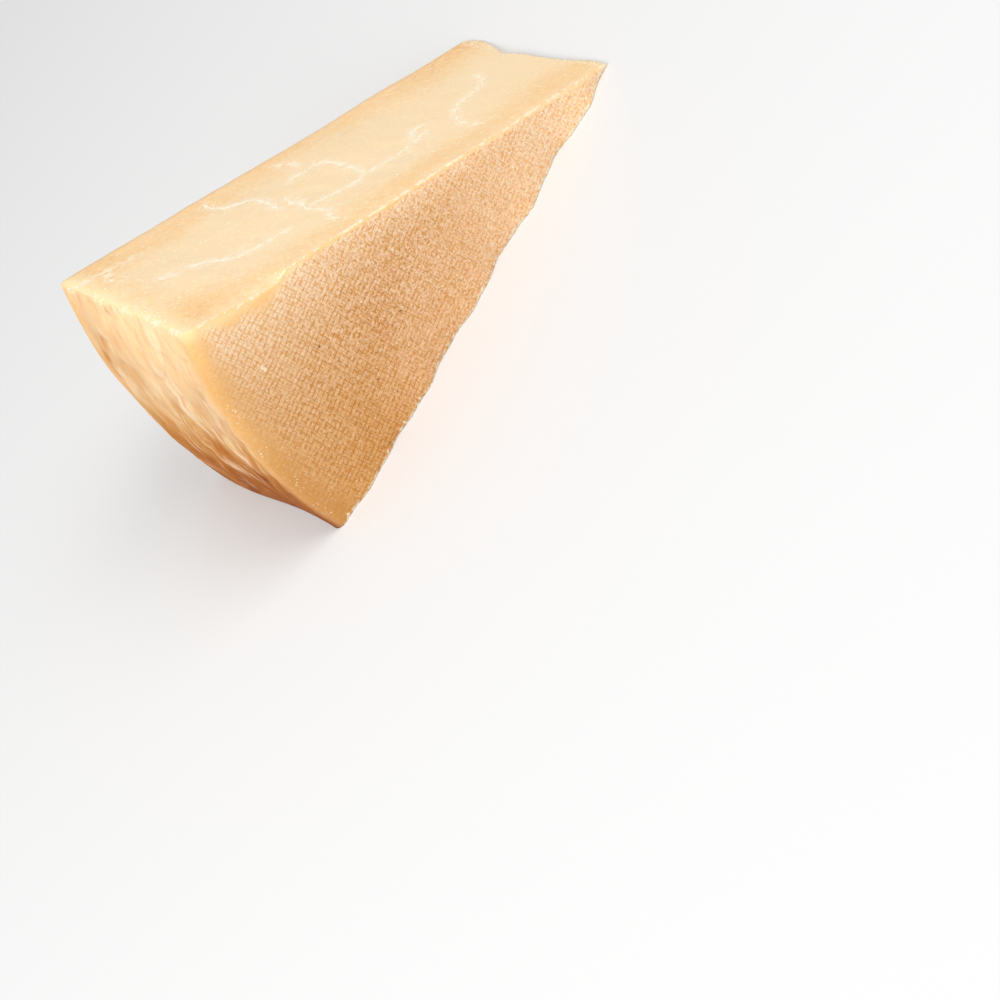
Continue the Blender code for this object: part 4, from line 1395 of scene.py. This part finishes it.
# %% Dark specks of dried paste on the front flat
DARK_PLACES = ((-41.3, 41.1), (-39.1, 17.4), (-38.8, 9.0), (-52.6, 1.8), (-18.4, 22.5))
DARK_SIZE = 0.26 * MM
dark = Recipe("dried_specks")
dark.set(Base_Color=colour(120, 78, 44), Roughness=0.6)
specks = scatter(*crumbs_on_flat(*zip(*DARK_PLACES), DARK_SIZE), 93)
speck_piece = add_piece("dark_specks", *specks, dark.material)
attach(speck_piece, "root")
print(len(DARK_PLACES), "dark specks")

# %% [markdown]
# ## Floor, light and camera
#
# A plain pale floor carries the wedge. A broad soft light from the upper right brightens the cut, as in the
# picture this lesson follows, and a second one from the left opens up the rind.

# %% Floor
FLOOR_HALF = 3.0
FLOOR_GAP = 0.05 * MM
floor_finish = Recipe("pale_floor")
floor_finish.set(Base_Color=(0.76, 0.76, 0.76, 1.0), Roughness=0.9, Specular_IOR_Level=0.1)
floor_corners = np.array(((-1, -1, 0), (1, -1, 0), (1, 1, 0), (-1, 1, 0))) * FLOOR_HALF
floor_corners = floor_corners - (0.0, 0.0, FLOOR_GAP)
floor = add_piece("floor", floor_corners, np.array(((0, 1, 2, 3),)), floor_finish.material, smooth=False)
floor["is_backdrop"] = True
print("the floor is", 2.0 * FLOOR_HALF, "m wide, and", FLOOR_GAP / MM, "mm under the wedge")

# %% Two soft lamps
SUBJECT = Vector((0.0, 0.0, 0.04))
LIGHTS = {  # direction, distance and size in metres, and watts
    "key": ((0.45, -0.45, 0.77), 1.2, 0.7, 6.6),
    "opener": ((-0.70, -0.30, 0.75), 1.3, 0.8, 9.9),
}


def soft_light(name, direction, distance, size, watts):
    """A square area light that looks at the wedge from a direction."""
    lamp = bpy.data.lights.new(name, "AREA")
    lamp.shape = "SQUARE"
    lamp.size = size
    lamp.energy = watts
    holder = bpy.data.objects.new(name, lamp)
    holder.location = SUBJECT + Vector(direction).normalized() * distance
    holder.rotation_euler = (SUBJECT - holder.location).to_track_quat("-Z", "Y").to_euler()
    bpy.context.scene.collection.objects.link(holder)


for name, setting in LIGHTS.items():
    soft_light(name, *setting)
print(len(LIGHTS), "lamps of", sum(watts for *_, watts in LIGHTS.values()), "watts in all")

# %% An even white sky
SKY_STRENGTH = 0.515
world = bpy.data.worlds.new("studio")
world.use_nodes = True
sky = world.node_tree.nodes["Background"]
sky.inputs["Color"].default_value = (1.0, 1.0, 1.0, 1.0)
sky.inputs["Strength"].default_value = SKY_STRENGTH
bpy.context.scene.world = world
bpy.context.scene.view_settings.view_transform = "Standard"
print("the sky shines at", SKY_STRENGTH, "of full white")

# %% Camera
CAMERA_PLACE = Vector((-0.1221, -0.5258, 0.3970))
CAMERA_AIM = Vector((-0.0505, -0.0541, -0.0296))
CAMERA_ROLL = math.radians(-55.07)
CAMERA_LENS = 77.07
lens = bpy.data.cameras.new("camera")
lens.lens = CAMERA_LENS
lens.sensor_width = 36.0
camera = bpy.data.objects.new("camera", lens)
camera.location = CAMERA_PLACE
upright = (CAMERA_AIM - CAMERA_PLACE).to_track_quat("-Z", "Y")
camera.rotation_euler = (upright @ Quaternion((0.0, 0.0, 1.0), CAMERA_ROLL)).to_euler()
bpy.context.scene.collection.objects.link(camera)
bpy.context.scene.camera = camera
print("the camera is", round((CAMERA_AIM - CAMERA_PLACE).length, 2), "m from what it looks at")

# %% [markdown]
# ## The boxes
#
# The dressed wedge has to keep within the solid's box, so both boxes are worked out and the dressed one is
# printed.

# %% The boxes of the solid and of the dressed wedge
dressed_low, dressed_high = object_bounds()
boxes = {"solid": [list(solid_low), list(solid_high)], "dressed": [list(dressed_low), list(dressed_high)]}
print("dressed box, mm:", [[round(v * 1000.0, 2) for v in corner] for corner in boxes["dressed"]])
